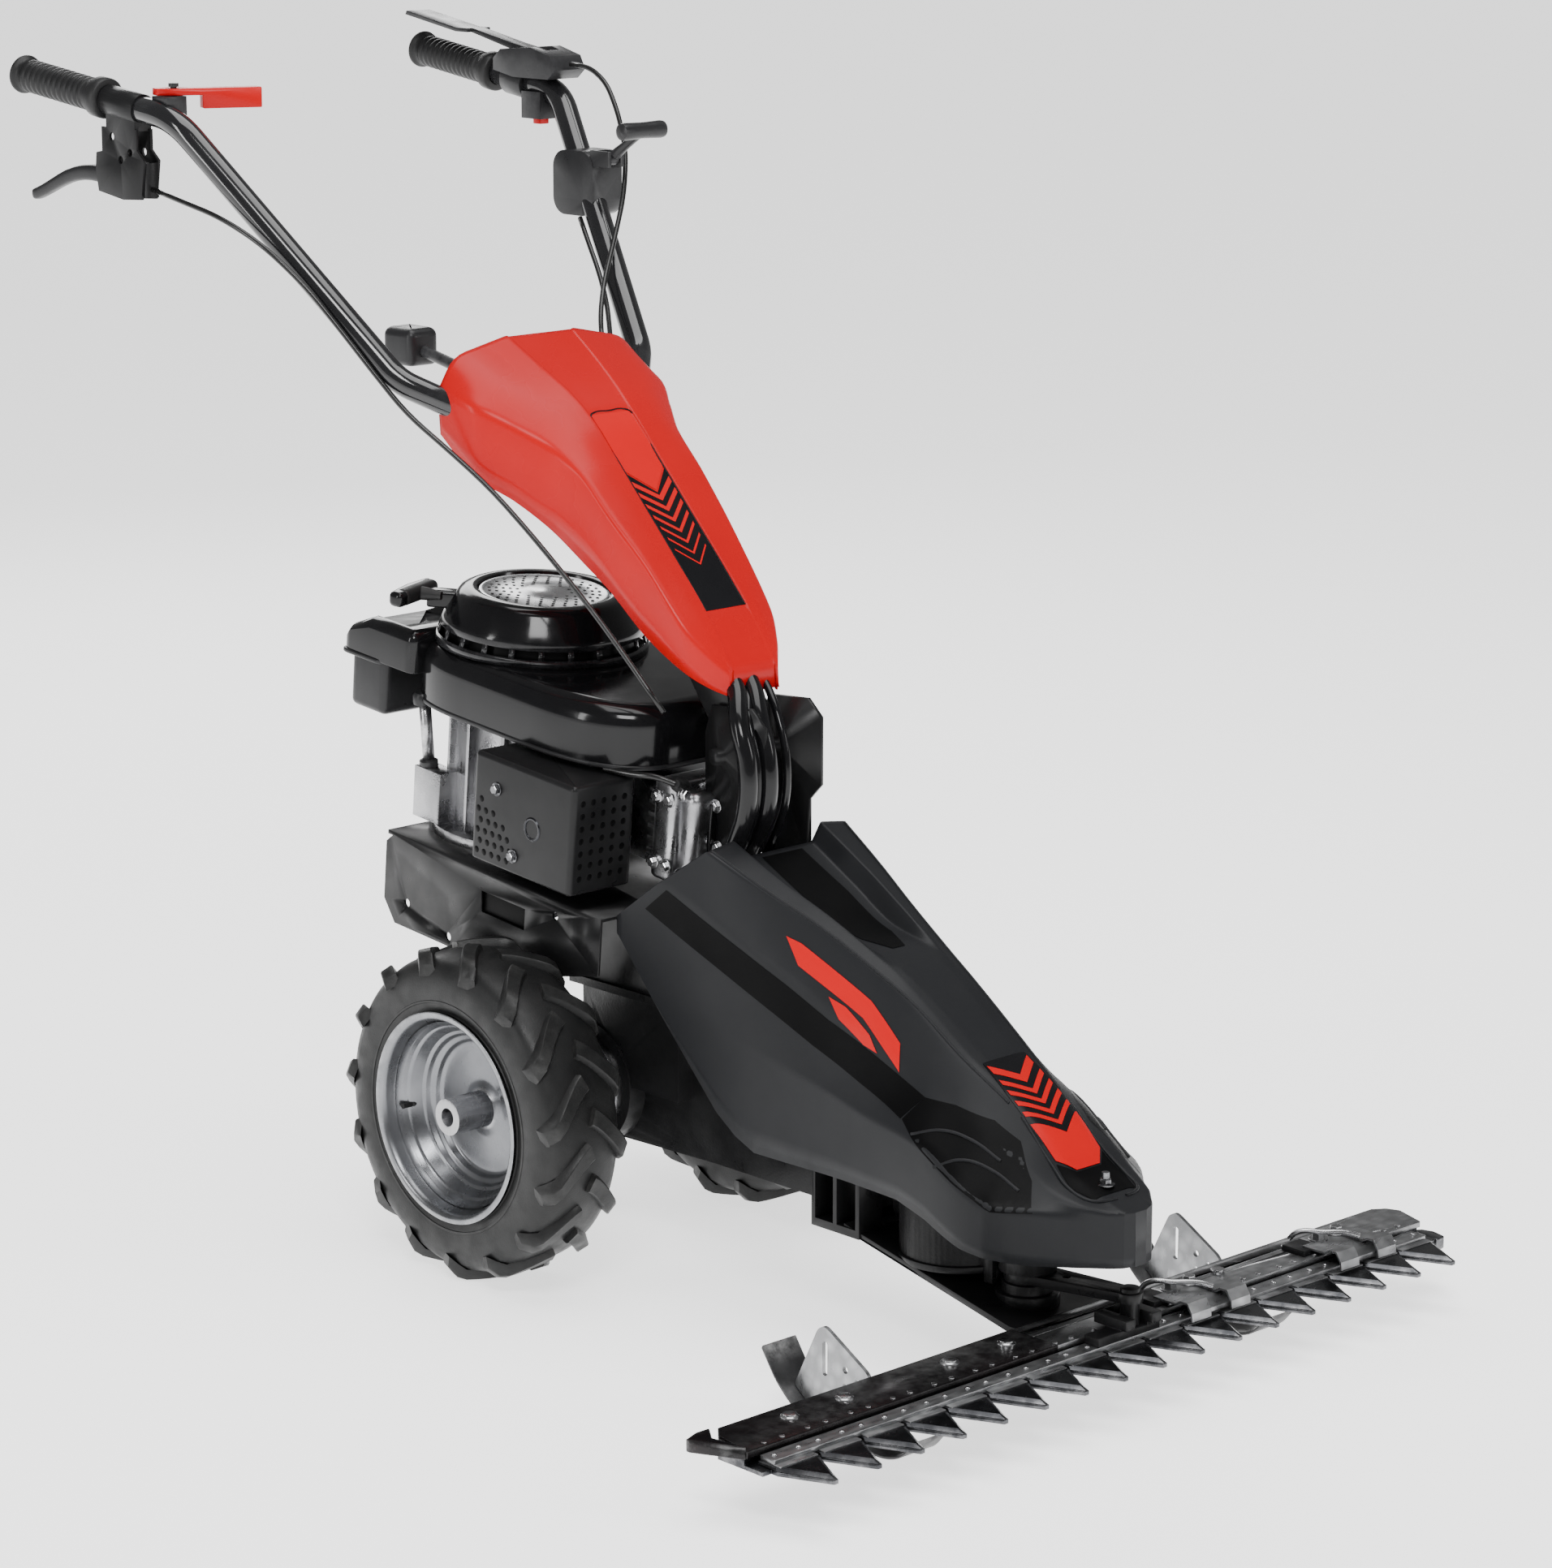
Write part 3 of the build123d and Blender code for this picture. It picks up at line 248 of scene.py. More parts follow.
# ---------- mesh helpers
def piece(name, verts, faces, finish_name, body, slot=None, replaces=(), smooth=True, bevel=0.0, subsurf=0,
          angle=35, wall=0.0, weld=0.0):
    """A mesh piece in millimetres that rides on a body; the slot argument is not used."""
    mesh = bpy.data.meshes.new(name)
    mesh.from_pydata([tuple(c * MM for c in v) for v in verts], [], faces)
    mesh.validate()
    obj = bpy.data.objects.new(name, mesh)
    bpy.context.scene.collection.objects.link(obj)
    b = bmesh.new()
    b.from_mesh(mesh)
    if weld:
        bmesh.ops.remove_doubles(b, verts=b.verts, dist=weld * MM)
    bmesh.ops.recalc_face_normals(b, faces=b.faces)
    b.to_mesh(mesh)
    b.free()
    mesh.materials.append(FINISHES[finish_name])
    if smooth:
        mesh.shade_smooth()
        mesh.set_sharp_from_angle(angle=math.radians(angle))
    if wall:
        shell = obj.modifiers.new("wall", "SOLIDIFY")
        shell.thickness = wall * MM
        shell.offset = -1
    if bevel:
        edge = obj.modifiers.new("bevel", "BEVEL")
        edge.width = bevel * MM
        edge.segments = 2
        edge.limit_method = "ANGLE"
        edge.angle_limit = math.radians(angle)
        edge.harden_normals = True
    if subsurf:
        sub = obj.modifiers.new("subsurf", "SUBSURF")
        sub.levels = sub.render_levels = subsurf
    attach(obj, body)
    slot or finish_name
    if replaces:
        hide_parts(*replaces)
    return obj


def from_bmesh(name, b, finish_name, body, **options):
    verts = [tuple(v.co) for v in b.verts]
    b.verts.index_update()
    faces = [[v.index for v in f.verts] for f in b.faces]
    b.free()
    return piece(name, verts, faces, finish_name, body, **options)


def grid_faces(rows, columns, close_u=False, close_v=False):
    """Quads between the points of a grid, stored row by row."""
    faces = []
    for i in range(rows if close_u else rows - 1):
        for j in range(columns if close_v else columns - 1):
            row = i * columns
            next_row = ((i + 1) % rows) * columns
            k = (j + 1) % columns
            faces.append((row + j, row + k, next_row + k, next_row + j))
    return faces


def lathe(profile, centre, axis, turns=96, close=False):
    """Revolves (radius, along) points about an axis through centre."""
    axis = Vector(axis).normalized()
    side = axis.orthogonal().normalized()
    other = axis.cross(side)
    verts = []
    for k in range(turns):
        a = math.tau * k / turns
        radial = side * math.cos(a) + other * math.sin(a)
        for r, t in profile:
            verts.append(Vector(centre) + axis * t + radial * r)
    return verts, grid_faces(turns, len(profile), close_u=True, close_v=close)


def merge(*meshes):
    verts, faces = [], []
    for v, f in meshes:
        base = len(verts)
        verts += list(v)
        faces += [tuple(i + base for i in face) for face in f]
    return verts, faces


def rounded(points, radii, n=4, close=False, mids=1):
    """A polyline with its corners turned into short arcs; the point count doesn't depend on the sizes."""
    arcs = []
    count = len(points)
    for i, p in enumerate(points):
        p = Vector(p)
        if not close and i in (0, count - 1):
            arcs.append([p])
            continue
        into = p - Vector(points[i - 1])
        away = Vector(points[(i + 1) % count]) - p
        r = radii[i] if isinstance(radii, (list, tuple)) else radii
        s = p - into.normalized() * min(r, into.length * 0.45) if into.length > 1e-6 else p
        e = p + away.normalized() * min(r, away.length * 0.45) if away.length > 1e-6 else p
        steps = [k / n for k in range(n + 1)]
        arcs.append([s * (1 - t) ** 2 + p * 2 * t * (1 - t) + e * t ** 2 for t in steps])
    line = []
    for i, arc in enumerate(arcs):
        line += arc
        if i < count - 1 or close:
            after = arcs[(i + 1) % count][0]
            line += [arc[-1].lerp(after, m / (mids + 1)) for m in range(1, mids + 1)]
    return line


def pillow(outline, z0, z1, top=3.0, bottom=1.0, segments=5, corner=6.0):
    """A block over a rounded plan outline whose top and bottom edges are rolled over."""
    loop = rounded([Vector((x, y, 0)) for x, y in outline], corner, 5, close=True, mids=2)
    count = len(loop)
    area = sum(loop[i].x * loop[(i + 1) % count].y - loop[(i + 1) % count].x * loop[i].y
               for i in range(count))
    flip = 1 if area > 0 else -1
    normals = []
    for i in range(count):
        d = loop[(i + 1) % count] - loop[i - 1]
        normals.append(Vector((d.y, -d.x, 0)).normalized() * flip)
    rings = []
    for k in range(segments + 1):
        a = math.pi / 2 * k / segments
        rings.append((bottom * (1 - math.sin(a)), z0 + bottom * (1 - math.cos(a))))
    for k in range(segments + 1):
        a = math.pi / 2 * k / segments
        rings.append((top * (1 - math.cos(a)), z1 - top * (1 - math.sin(a))))
    verts = []
    for inset, z in rings:
        for p, nrm in zip(loop, normals):
            q = p - nrm * inset
            verts.append(Vector((q.x, q.y, z)))
    faces = grid_faces(len(rings), count, close_v=True)
    faces.append(tuple(reversed(range(count))))
    faces.append(tuple(range((len(rings) - 1) * count, len(rings) * count)))
    return verts, faces


def moved(mesh, matrix):
    return [matrix @ Vector(v) for v in mesh[0]], mesh[1]


def pchip(xs, ys, x):
    """Shape-preserving cubic through stations with rising xs."""
    n = len(xs)
    if x <= xs[0]:
        return ys[0]
    if x >= xs[-1]:
        return ys[-1]
    h = [xs[i + 1] - xs[i] for i in range(n - 1)]
    d = [(ys[i + 1] - ys[i]) / h[i] for i in range(n - 1)]

    def slope(i):
        if i == 0:
            return d[0]
        if i == n - 1:
            return d[-1]
        if d[i - 1] * d[i] <= 0:
            return 0.0
        w1 = 2 * h[i] + h[i - 1]
        w2 = h[i] + 2 * h[i - 1]
        return (w1 + w2) / (w1 / d[i - 1] + w2 / d[i])

    i = max(k for k in range(n - 1) if xs[k] <= x)
    t = (x - xs[i]) / h[i]
    m0, m1 = slope(i) * h[i], slope(i + 1) * h[i]
    return ((2 * t ** 3 - 3 * t ** 2 + 1) * ys[i] + (t ** 3 - 2 * t ** 2 + t) * m0 + (-2 * t ** 3 + 3
                                                                                      * t ** 2) * ys[i + 1]
            + (t ** 3 - t ** 2) * m1)


def section_at(sections, y):
    """Interpolates every control value of a list of (y, values) stations."""
    ordered = sorted(sections)
    ys = [s[0] for s in ordered]
    return [pchip(ys, [s[1][k] for s in ordered], y) for k in range(len(ordered[0][1]))]


def cable(name, points, radius, finish_name, body, steps=10):
    """A round smooth cable through points, as a curve."""
    curve = bpy.data.curves.new(name, "CURVE")
    curve.dimensions = "3D"
    curve.bevel_depth = radius * MM
    curve.bevel_resolution = 5
    curve.resolution_u = steps
    curve.use_fill_caps = True
    spline = curve.splines.new("BEZIER")
    spline.bezier_points.add(len(points) - 1)
    for p, q in zip(spline.bezier_points, points):
        p.co = Vector(q) * MM
        p.handle_left_type = p.handle_right_type = "AUTO"
    curve.materials.append(FINISHES[finish_name])
    obj = bpy.data.objects.new(name, curve)
    bpy.context.scene.collection.objects.link(obj)
    if body:
        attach(obj, body)
    return obj


def hex_head(at, axis, width=10, height=6):
    """Bolt head with chamfered crown, on a washer."""
    axis = Vector(axis).normalized()
    corner = width / 2 / math.cos(math.pi / HEX)
    thick = 1.4
    washer = lathe([(0.01, 0), (width * 0.82, 0), (width * 0.86, 0.3), (width * 0.86, 1.1),
                    (width * 0.80, thick), (0.01, thick)], at, axis, 32)
    side = axis.orthogonal().normalized()
    other = axis.cross(side)
    verts = []
    for r, t in ((corner, thick), (corner, thick + height * 0.8), (corner * 0.86, thick + height)):
        for k in range(HEX):
            a = math.tau * k / HEX
            verts.append(Vector(at) + axis * t + (side * math.cos(a) + other * math.sin(a)) * r)
    faces = grid_faces(3, HEX, close_v=True) + [tuple(range(2 * HEX, 3 * HEX))]
    return merge(washer, (verts, faces))


def pan_head(at, axis, r=4.0, h=2.4):
    return lathe([(0.01, h * 0.55), (r * 0.32, h * 0.55), (r * 0.36, h), (r * 0.7, h * 0.92),
                  (r * 0.93, h * 0.6), (r, 0.2), (r, 0), (0.01, 0)], at, axis, 24)


# the engine's own frame, upright on its crankshaft and leaning with it
ENGINE = Matrix.Translation((0, 195, 392)) @ Matrix.Rotation(math.radians(5.5), 4, "X")


def engine_piece(name, mesh, finish_name, slot=None, **options):
    """A chassis piece whose mesh is given in the engine's own frame."""
    return piece(name, *moved(mesh, ENGINE), finish_name, "chassis", slot, **options)


# ---------- CAD nodes: finishes and softened edges
SLOT_OF = {s["node"]: s["material_slot"] for s in frame["record"]["subparts"]}
BEVELS = {"bar_plate": 0.8, "finger_bar": 0.5, "knife_blades": 0.5, "knife_back": 0.8,
          "hold_down_clips": 0.9, "carrier_plate": 1.2, "muffler_guard": 1.6, "gearbox_housing": 4.0,
          "drive_housing": 2.0, "pivot_column": 2.0, "swing_arm": 1.6, "crankcase": 1.6,
          "cylinder_head": 1.0, "clutch_bracket": 0.8, "knife_head": 1.2, "skid_left": 0.6,
          "skid_right": 0.6, "mast": 1.5, "bar_divider": 1.6, "bar_end_shoe": 1.6, "gearbox_end_cover": 0.8,
          "clutch_lever": 2.2, "drive_lever": 1.0, "drive_lever_housing": 2.4, "stop_switch": 1.6,
          "stop_button": 0.8, "safety_lever": 1.6, "safety_pin": 0.8, "throttle_housing": 1.2,
          "wheel_shaft_left": 0.8, "wheel_shaft_right": 0.8, "bar_bolts": 0.8, "bar_rivets": 0.5,
          "crank_pulley": 0.6, "gearbox_pulley": 0.8}
for node, obj in NODES.items():
    obj.data.materials.clear()
    obj.data.materials.append(FINISHES[SLOT_OF[node]])
    obj.data.shade_smooth()
    obj.data.set_sharp_from_angle(angle=math.radians(30))
    weld = obj.modifiers.new("weld", "WELD")
    weld.merge_threshold = 0.00001
    if node in BEVELS:
        soften = obj.modifiers.new("bevel", "BEVEL")
        soften.width = BEVELS[node] * MM
        soften.segments = 2
        soften.limit_method = "ANGLE"
        soften.angle_limit = math.radians(38)
        soften.use_clamp_overlap = True
        soften.harden_normals = True
for node in ("wheel_shaft_left", "wheel_shaft_right"):
    NODES[node].data.materials[0] = FINISHES["hub_steel"]
for node in ("finger_bar", "bar_end_shoe"):
    NODES[node].data.materials[0] = FINISHES["blade_dark"]

# ---------- hood
# Each station is y, then half width and height of the panel's edge, shoulder, flank edge and hem
HOOD = [
    (174, (42, 893, 110, 880, 130, 848, 127, 806)),
    (133, (37, 869, 98, 858, 124, 838, 121, 770)),
    (96, (31, 846, 76, 838, 103, 820, 99, 746)),
    (59, (27, 816, 60, 812, 82, 799, 79, 716)),
    (30, (27, 786, 52, 785, 75, 780, 73, 694)),
    (-5, (27, 750, 48, 750, 72, 746, 69, 670)),
    (-50, (27, 704, 44, 704, 65, 702, 60, 628)),
    (-94, (27, 658, 40, 658, 60, 650, 52, 600)),
    (-116, (27, 630, 36, 630, 48, 624, 42, 588)),
    (-133, (27, 606, 29, 605, 32, 603, 30, 580)),
]
PANEL_TOP_Y = 74
PANEL_END_Y = -99
PANEL_DEPTH = 1.8
HOOD_STEPS = 84


def strip_height(y):
    return section_at(HOOD, y)[1]


def hood_rows():
    rows = []
    length = HOOD[0][0] - HOOD[-1][0]
    for y in [HOOD[0][0] - length * k / HOOD_STEPS for k in range(HOOD_STEPS + 1)]:
        fw, fz, sw, sz, ew, ez, lw, lz = section_at(HOOD, y)
        fade = max(0.0, min(1.0, (PANEL_TOP_Y - y) / 3)) * max(0.0, min(1.0, (y - PANEL_END_Y) / 4))
        ridge = 1.6 if y > PANEL_TOP_Y else 1.2
        floor = fz - PANEL_DEPTH * fade
        half = [(0, floor), (fw - 2.0, floor), (fw - 0.4, fz + ridge * 0.6), (fw + 2.4, fz + ridge * 0.5),
                (sw, sz), (ew, ez), (lw, lz)]
        soft = [0, 1.0, 0.8, 2.0, 16, 7, 0]
        rows.append(rounded([Vector((x, y, z)) for x, z in half], soft, 4, mids=2))
    return rows


rows = hood_rows()
verts = []
for pts in rows:
    verts += [Vector((-p.x, p.y, p.z)) for p in reversed(pts[1:])] + pts
width = 2 * len(rows[0]) - 1
HOOD_HEM_Z = 583
verts += [Vector((p.x, p.y - 1.0, min(p.z, HOOD_HEM_Z) - 1)) for p in verts[-width:]]
faces = grid_faces(len(rows) + 1, width)
piece("hood_shell", verts, faces, "red_plastic", "steering", replaces=("hood",), wall=2.6, angle=42)


DRAPE_EDGE = 7


def drape(name, outline, height, finish_name, body, lift=0.5, cuts=5, slot=None, plane="xy"):
    """A thin sticker: an outline laid over a surface whose height is a function of two coordinates."""
    b = bmesh.new()
    ring = [b.verts.new((p[0], p[1], 0)) for p in outline]
    b.faces.new(ring)
    bmesh.ops.triangulate(b, faces=b.faces)
    for _ in range(cuts):
        longest = [e for e in b.edges if e.calc_length() > DRAPE_EDGE]
        if not longest:
            break
        bmesh.ops.subdivide_edges(b, edges=longest, cuts=1)
        bmesh.ops.triangulate(b, faces=b.faces)
    for v in b.verts:
        u, w = v.co.x, v.co.y
        h = height(u, w)
        if plane == "xy":
            v.co = (u, w, h + lift)
        else:
            v.co = (h, u, w)
    from_bmesh(name, b, finish_name, body, slot=slot, angle=60)


def strip(x, y):
    """Height of the sunken panel, which is level across the hood."""
    return strip_height(y) - PANEL_DEPTH


PANEL_W = 24.4
drape("hood_panel_red", [(-PANEL_W, 71), (PANEL_W, 71), (PANEL_W, 22), (0, 4), (-PANEL_W, 22)], strip,
      "decal_red", "steering", 0.5, slot="red_plastic")
drape("hood_panel_black", [(-PANEL_W, 20), (0, 2), (PANEL_W, 20), (PANEL_W, -94), (-PANEL_W, -94)], strip,
      "decal_black", "steering", 0.35, slot="black_plastic")
panel_edge = [(0.2, 73), (18, 73)] + [(PANEL_W + 0.6, y) for y in (70, 30, -20, -60, -94)]
for side, sign in reversed(SIDES):
    cable("hood_panel_edge_" + side, [(sign * x, y, strip(sign * x, y) + 0.5) for x, y in panel_edge], 0.9,
          "decal_black", "steering")
CHEVRON_STEP = 9.5
CHEVRON_DROP = 14
for k in range(7):
    top = 13.5 - CHEVRON_STEP * k
    thick = 4.6 - 0.5 * k
    reach = PANEL_W - 0.8 * k
    drape(f"hood_chevron_{k}", [(-reach, top), (0, top - CHEVRON_DROP), (reach, top), (reach, top - thick),
                                (0, top - CHEVRON_DROP - thick), (-reach, top - thick)], strip, "decal_red",
          "steering", 0.6, slot="red_plastic")

# ---------- front cover
# Each station is y, then half width and height of the top's middle, its rim, the crest, the shoulder,
# the flank and the bottom; the plan of the nose and the lower and upper lines cut it to shape
COVER = [
    (-40, (48, 494, 60, 510, 108, 508, 110, 430, 108, 300, 104, 140)),
    (-165, (44, 434, 56, 452, 90, 447, 101, 395, 104, 290, 102, 140)),
    (-228, (40, 404, 51, 423, 76, 418, 94, 366, 102, 275, 100, 140)),
    (-288, (33, 378, 42, 396, 60, 391, 84, 340, 100, 262, 98, 140)),
    (-345, (28, 366, 36, 367, 50, 362, 76, 312, 98, 250, 96, 138)),
    (-390, (24, 342, 34, 341, 44, 338, 71, 296, 99, 240, 98, 136)),
    (-455, (20, 299, 32, 298, 41, 295, 66, 268, 104, 232, 102, 132)),
    (-500, (18, 272, 28, 271, 36, 267, 62, 250, 106, 208, 106, 130)),
    (-540, (16, 244, 24, 243, 32, 238, 58, 226, 100, 190, 101, 130)),
    (-580, (14, 208, 20, 208, 28, 206, 52, 202, 76, 186, 78, 130)),
    (-642, (10, 186, 16, 186, 20, 185, 30, 184, 50, 178, 52, 130)),
]
NOSE_PLAN = [(-638, 6), (-634, 18), (-628, 26), (-606, 46), (-580, 68), (-556, 90), (-535, 104), (-520, 111),
             (-470, 118), (-40, 122)]
LOWER_LINE = [(-645, 137), (-574, 137), (-515, 146), (-470, 162), (-430, 171), (-240, 171), (-215, 182),
              (-190, 200), (-120, 276), (-57, 350)]
UPPER_LINE = [(-166, 1000), (-164.7, 447), (-57, 367)]


def linear(table, x):
    if x <= table[0][0]:
        return table[0][1]
    for (x0, v0), (x1, v1) in zip(table, table[1:]):
        if x <= x1:
            return v0 + (v1 - v0) * (x - x0) / (x1 - x0)
    return table[-1][1]


def wall_x(chain, z):
    """Half width of the cover's side at a height."""
    ordered = sorted(chain, key=lambda p: p[1])
    return linear([(p[1], p[0]) for p in ordered], z)


def cover_row(y):
    fw, fz, rw, rz, ew, ez, sw, sz, lw, lz, bw, bz = section_at(COVER, y)
    limit = linear(NOSE_PLAN, y)
    z_low = linear(LOWER_LINE, y)
    z_high = linear(UPPER_LINE, y)
    chain = [(ew, ez), (sw, sz), (lw, lz), (bw, bz)]
    low_x = wall_x(chain, z_low)
    corners = [(0, fz), (fw, fz), (rw, rz), (ew, ez), (sw, sz), (lw, max(lz, z_low + 6)), (low_x, z_low)]
    if sz < z_low + 10:
        corners[4] = (wall_x(chain, z_low + 12), z_low + 12)
        corners[5] = (wall_x(chain, z_low + 6), z_low + 6)
    if z_high < 900:
        top_x = wall_x(chain, z_high)
        corners = [(top_x, z_high)] * 4 + [(wall_x(chain, min(sz, z_high)), min(sz, z_high)),
                                           (wall_x(chain, min(max(lz, z_low), z_high)), min(max(lz, z_low),
                                                                                            z_high)),
                                           (low_x, z_low)]
    corners = [(min(x, limit), z) for x, z in corners]
    soft = [0, 2.5, 2.5, 3.5, 4.5, 4.5, 0]
    return rounded([Vector((x, y, z)) for x, z in corners], soft, 4, mids=3)


# The flanks reach further back than the top, whose rear edge is at TOP_REAR_Y
FLANK_REAR_Y = -57
FLANK_LENGTH = 107.4
TOP_EDGE_Y = -164.6
TOP_REAR_Y = -166
NOSE_Y = -634
TOP_COLUMNS = 22
stations = [FLANK_REAR_Y - FLANK_LENGTH * k / 16 for k in range(17)] + [TOP_EDGE_Y]
stations += [TOP_REAR_Y - (TOP_REAR_Y - NOSE_Y) * k / 120 for k in range(121)] + [-636, -637.6]
verts = []
for y in stations:
    pts = cover_row(y)
    verts += [Vector((-p.x, p.y, p.z)) for p in reversed(pts)] + pts
half_width = len(pts)
width = 2 * half_width
tip_z = linear(LOWER_LINE, -638)
verts += [Vector((v.x, v.y - 0.4, tip_z)) for v in verts[-width:]]
split = stations.index(TOP_EDGE_Y)
faces = []
for i in range(len(stations)):
    for j in range(width - 1):
        from_centre = j - half_width if j >= half_width else half_width - 2 - j
        if i > split or from_centre >= TOP_COLUMNS:
            a = i * width + j
            faces.append((a, a + 1, a + width + 1, a + width))
piece("front_cover_shell", verts, faces, "grey_plastic", "chassis", replaces=("front_cover",), wall=2.6,
      angle=17, weld=0.02)

COVER_TREE = BVHTree.FromPolygons([tuple(v) for v in verts], faces)


def cover_side(sign, lift=0.5):
    """The x of a flank, a little outside it, as a function of y and z."""
    def reach(y, z):
        hit = COVER_TREE.ray_cast(Vector((sign * 300, y, z)), Vector((-sign, 0, 0)))
        return (hit[0].x if hit[0] else sign * 100) + sign * lift
    return reach


def cover_top(x, y):
    hit = COVER_TREE.ray_cast(Vector((x, y, 900)), Vector((0, 0, -1)))
    return hit[0].z if hit[0] else 300


def side_sticker(name, outline, finish_name, lift, slot="grey_plastic"):
    """The same side panel on both flanks; outline is (y, z)."""
    for side, sign in SIDES:
        drape(f"{name}_{side}", outline, cover_side(sign, lift), finish_name, "chassis", slot=slot,
              plane="side")


# the dark band on each flank is a flat sticker: painted shade of the recessed band
side_sticker("cover_band", [(-96, 381), (-124, 404), (-172, 383), (-220, 362), (-270, 339), (-321, 314),
                            (-380, 290), (-441, 265), (-428, 246), (-370, 266), (-310, 289), (-250, 315),
                            (-190, 341), (-140, 362)], "pocket_plastic", 0.35)
side_sticker("cover_stripe", [(-260, 381), (-276, 376), (-356, 335), (-397, 304), (-407, 281), (-381, 300),
                              (-354, 320), (-279, 357)], "decal_red", 0.9, "red_plastic")
side_sticker("cover_stripe_low", [(-316, 334), (-335, 327), (-366, 307), (-379, 293), (-363, 298),
                                  (-332, 316)], "decal_red", 0.9, "red_plastic")
# the gill panel is a flat dark sticker under the gill ridges: painted shade between the gills
side_sticker("gill_panel", [(-430, 246), (-441, 265), (-470, 262), (-506, 253), (-532, 238), (-560, 210),
                            (-574, 186), (-545, 186), (-505, 205), (-465, 226)], "pocket_plastic", 0.4)
for k, line in enumerate(([(-448, 237), (-473, 243), (-500, 238), (-530, 224)], [(-482, 215), (-502, 223),
                                                                                 (-528, 217), (-556, 203)])):
    for side, sign in SIDES:
        reach = cover_side(sign, 0.6)
        cable(f"gill_{k}_{side}", [(reach(y, z), y, z) for y, z in line], 1.6, "grey_plastic", "chassis")


def top_sticker(name, outline, finish_name, lift, slot="grey_plastic"):
    drape(name, outline, cover_top, finish_name, "chassis", lift, slot=slot)


def top_line(name, line, lift, radius):
    """A moulded line on both halves of the cover's top, through (x, y) points of the left half."""
    for side, sign in reversed(SIDES):
        cable(f"{name}_{side}", [(sign * x, y, cover_top(sign * x, y) + lift) for x, y in line], radius,
              "grey_plastic", "chassis")


top_sticker("nose_panel", [(-27, -466), (27, -466), (30, -500), (31, -545), (-31, -545), (-30, -500)],
            "decal_black", 0.9)
CHEVRON_ROWS = ((-470, 9), (-486, 5.5), (-497, 5), (-507.5, 5), (-518, 4.5))
for k, (y, deep) in enumerate(CHEVRON_ROWS):
    wide = 26 + 0.8 * k
    top_sticker(f"nose_chevron_{k}", [(-wide, y), (0, y - 17), (wide, y), (wide, y - deep),
                                      (0, y - 17 - deep), (-wide, y - deep)], "decal_red", 1.3,
                "red_plastic")
top_sticker("nose_hexagon", [(-30, -529), (0, -546), (30, -529), (29, -560), (15, -573), (-15, -573),
                             (-29, -560)], "decal_red", 1.3, "red_plastic")
# the nose pocket is a flat dark sticker: painted shade in the recess around the bolt
top_sticker("nose_pocket", [(-16, -574), (16, -574), (30, -562), (34, -585), (27, -606), (-27, -606),
                            (-34, -585), (-30, -562)], "pocket_plastic", 0.7)
top_line("nose_lip", ((31, -520), (34, -560), (36, -585), (31, -604), (20, -612), (6, -614)), 0.4, 1.7)
piece("nose_bolt", *merge(hex_head((0, -594, cover_top(0, -594)), (0, 0, 1), 10, 5),
                          lathe([(0.01, 0), (4, 0), (3.6, 8), (0.01, 8)], (0, -594, cover_top(0, -594) + 4),
                                (0, 0, 1), 20)), "blade_dark", "chassis", "bright_steel", angle=30)
# the pocket on the cover's top is a flat dark sticker: painted shade in the recess
top_sticker("cover_pocket", [(-26, -172), (26, -172), (26, -235), (20, -300), (8, -330), (-8, -330),
                             (-20, -300), (-26, -235)], "pocket_plastic", 0.6)
top_line("cover_crest", ((86, -168), (74, -228), (59, -288), (49, -345), (43, -390), (39, -455), (33, -505)),
         0.2, 1.3)

# ---------- tyres and rims
TYRE_R = 164
CARCASS_R = 155.0
LUGS = 15
LUG_STEPS = 8
SHOULDER = 0.8


def tyre_lug(side, phase):
    """One tread lug, slanting from the middle of the tread over the shoulder on one side."""
    verts = []
    for k in range(LUG_STEPS + 1):
        t = k / LUG_STEPS
        x = side * (1.5 + 45.5 * t)
        turn = phase - 0.30 * (t ** 1.25) + 0.06
        if t < SHOULDER:
            top = TYRE_R - 0.4 * t
            low = CARCASS_R - 2
        else:
            u = (t - SHOULDER) / (1 - SHOULDER)
            top = TYRE_R - 0.3 - 13 * u ** 1.6
            low = CARCASS_R - 4 - 12 * u
        broad = 8.6 - 0.8 * t
        flat = broad - 2.2
        for w, r in ((-broad, low), (-flat - 0.6, top - 1.2), (-flat + 0.6, top), (flat - 0.6, top),
                     (flat + 0.6, top - 1.2), (broad, low)):
            a = turn + w / r * 1.15
            verts.append(Vector((x + side * w * 0.45, r * math.sin(a), r * math.cos(a))))
    faces = grid_faces(LUG_STEPS + 1, 6)
    faces += [tuple(range(5, -1, -1)), tuple(range(len(verts) - 6, len(verts)))]
    return verts, faces


def tyre_mesh(sign):
    """Carcass with a ridge on each wall, and two rows of lugs half a step apart."""
    profile = [(96, -33), (98, -41), (102, -45.4), (104.2, -46.4), (105, -45.0), (106.4, -45.2), (112, -47),
               (120, -48), (130, -47.8), (139, -46.4), (147, -43), (152.5, -37.5), (156, -29), (157.8, -15)]
    profile += [(158.3, 0)] + [(r, -x) for r, x in reversed(profile)]
    sets = [lathe(profile, (0, 0, 0), (1, 0, 0), 150, close=True)]
    for s in (-1, 1):
        ridge = [(112, 46.0 * s), (113, 47.9 * s), (115, 48.0 * s), (116, 46.6 * s)]
        sets.append(lathe(ridge, (0, 0, 0), (1, 0, 0), 150))
    for i in range(LUGS):
        for s in (-1, 1):
            sets.append(tyre_lug(s, (i + (0.5 if s > 0 else 0)) * math.tau / LUGS))
    verts, faces = merge(*sets)
    return [Vector((sign * (WHEEL_X - v.x), AXLE_Y + v.y, AXLE_Z + v.z)) for v in verts], faces


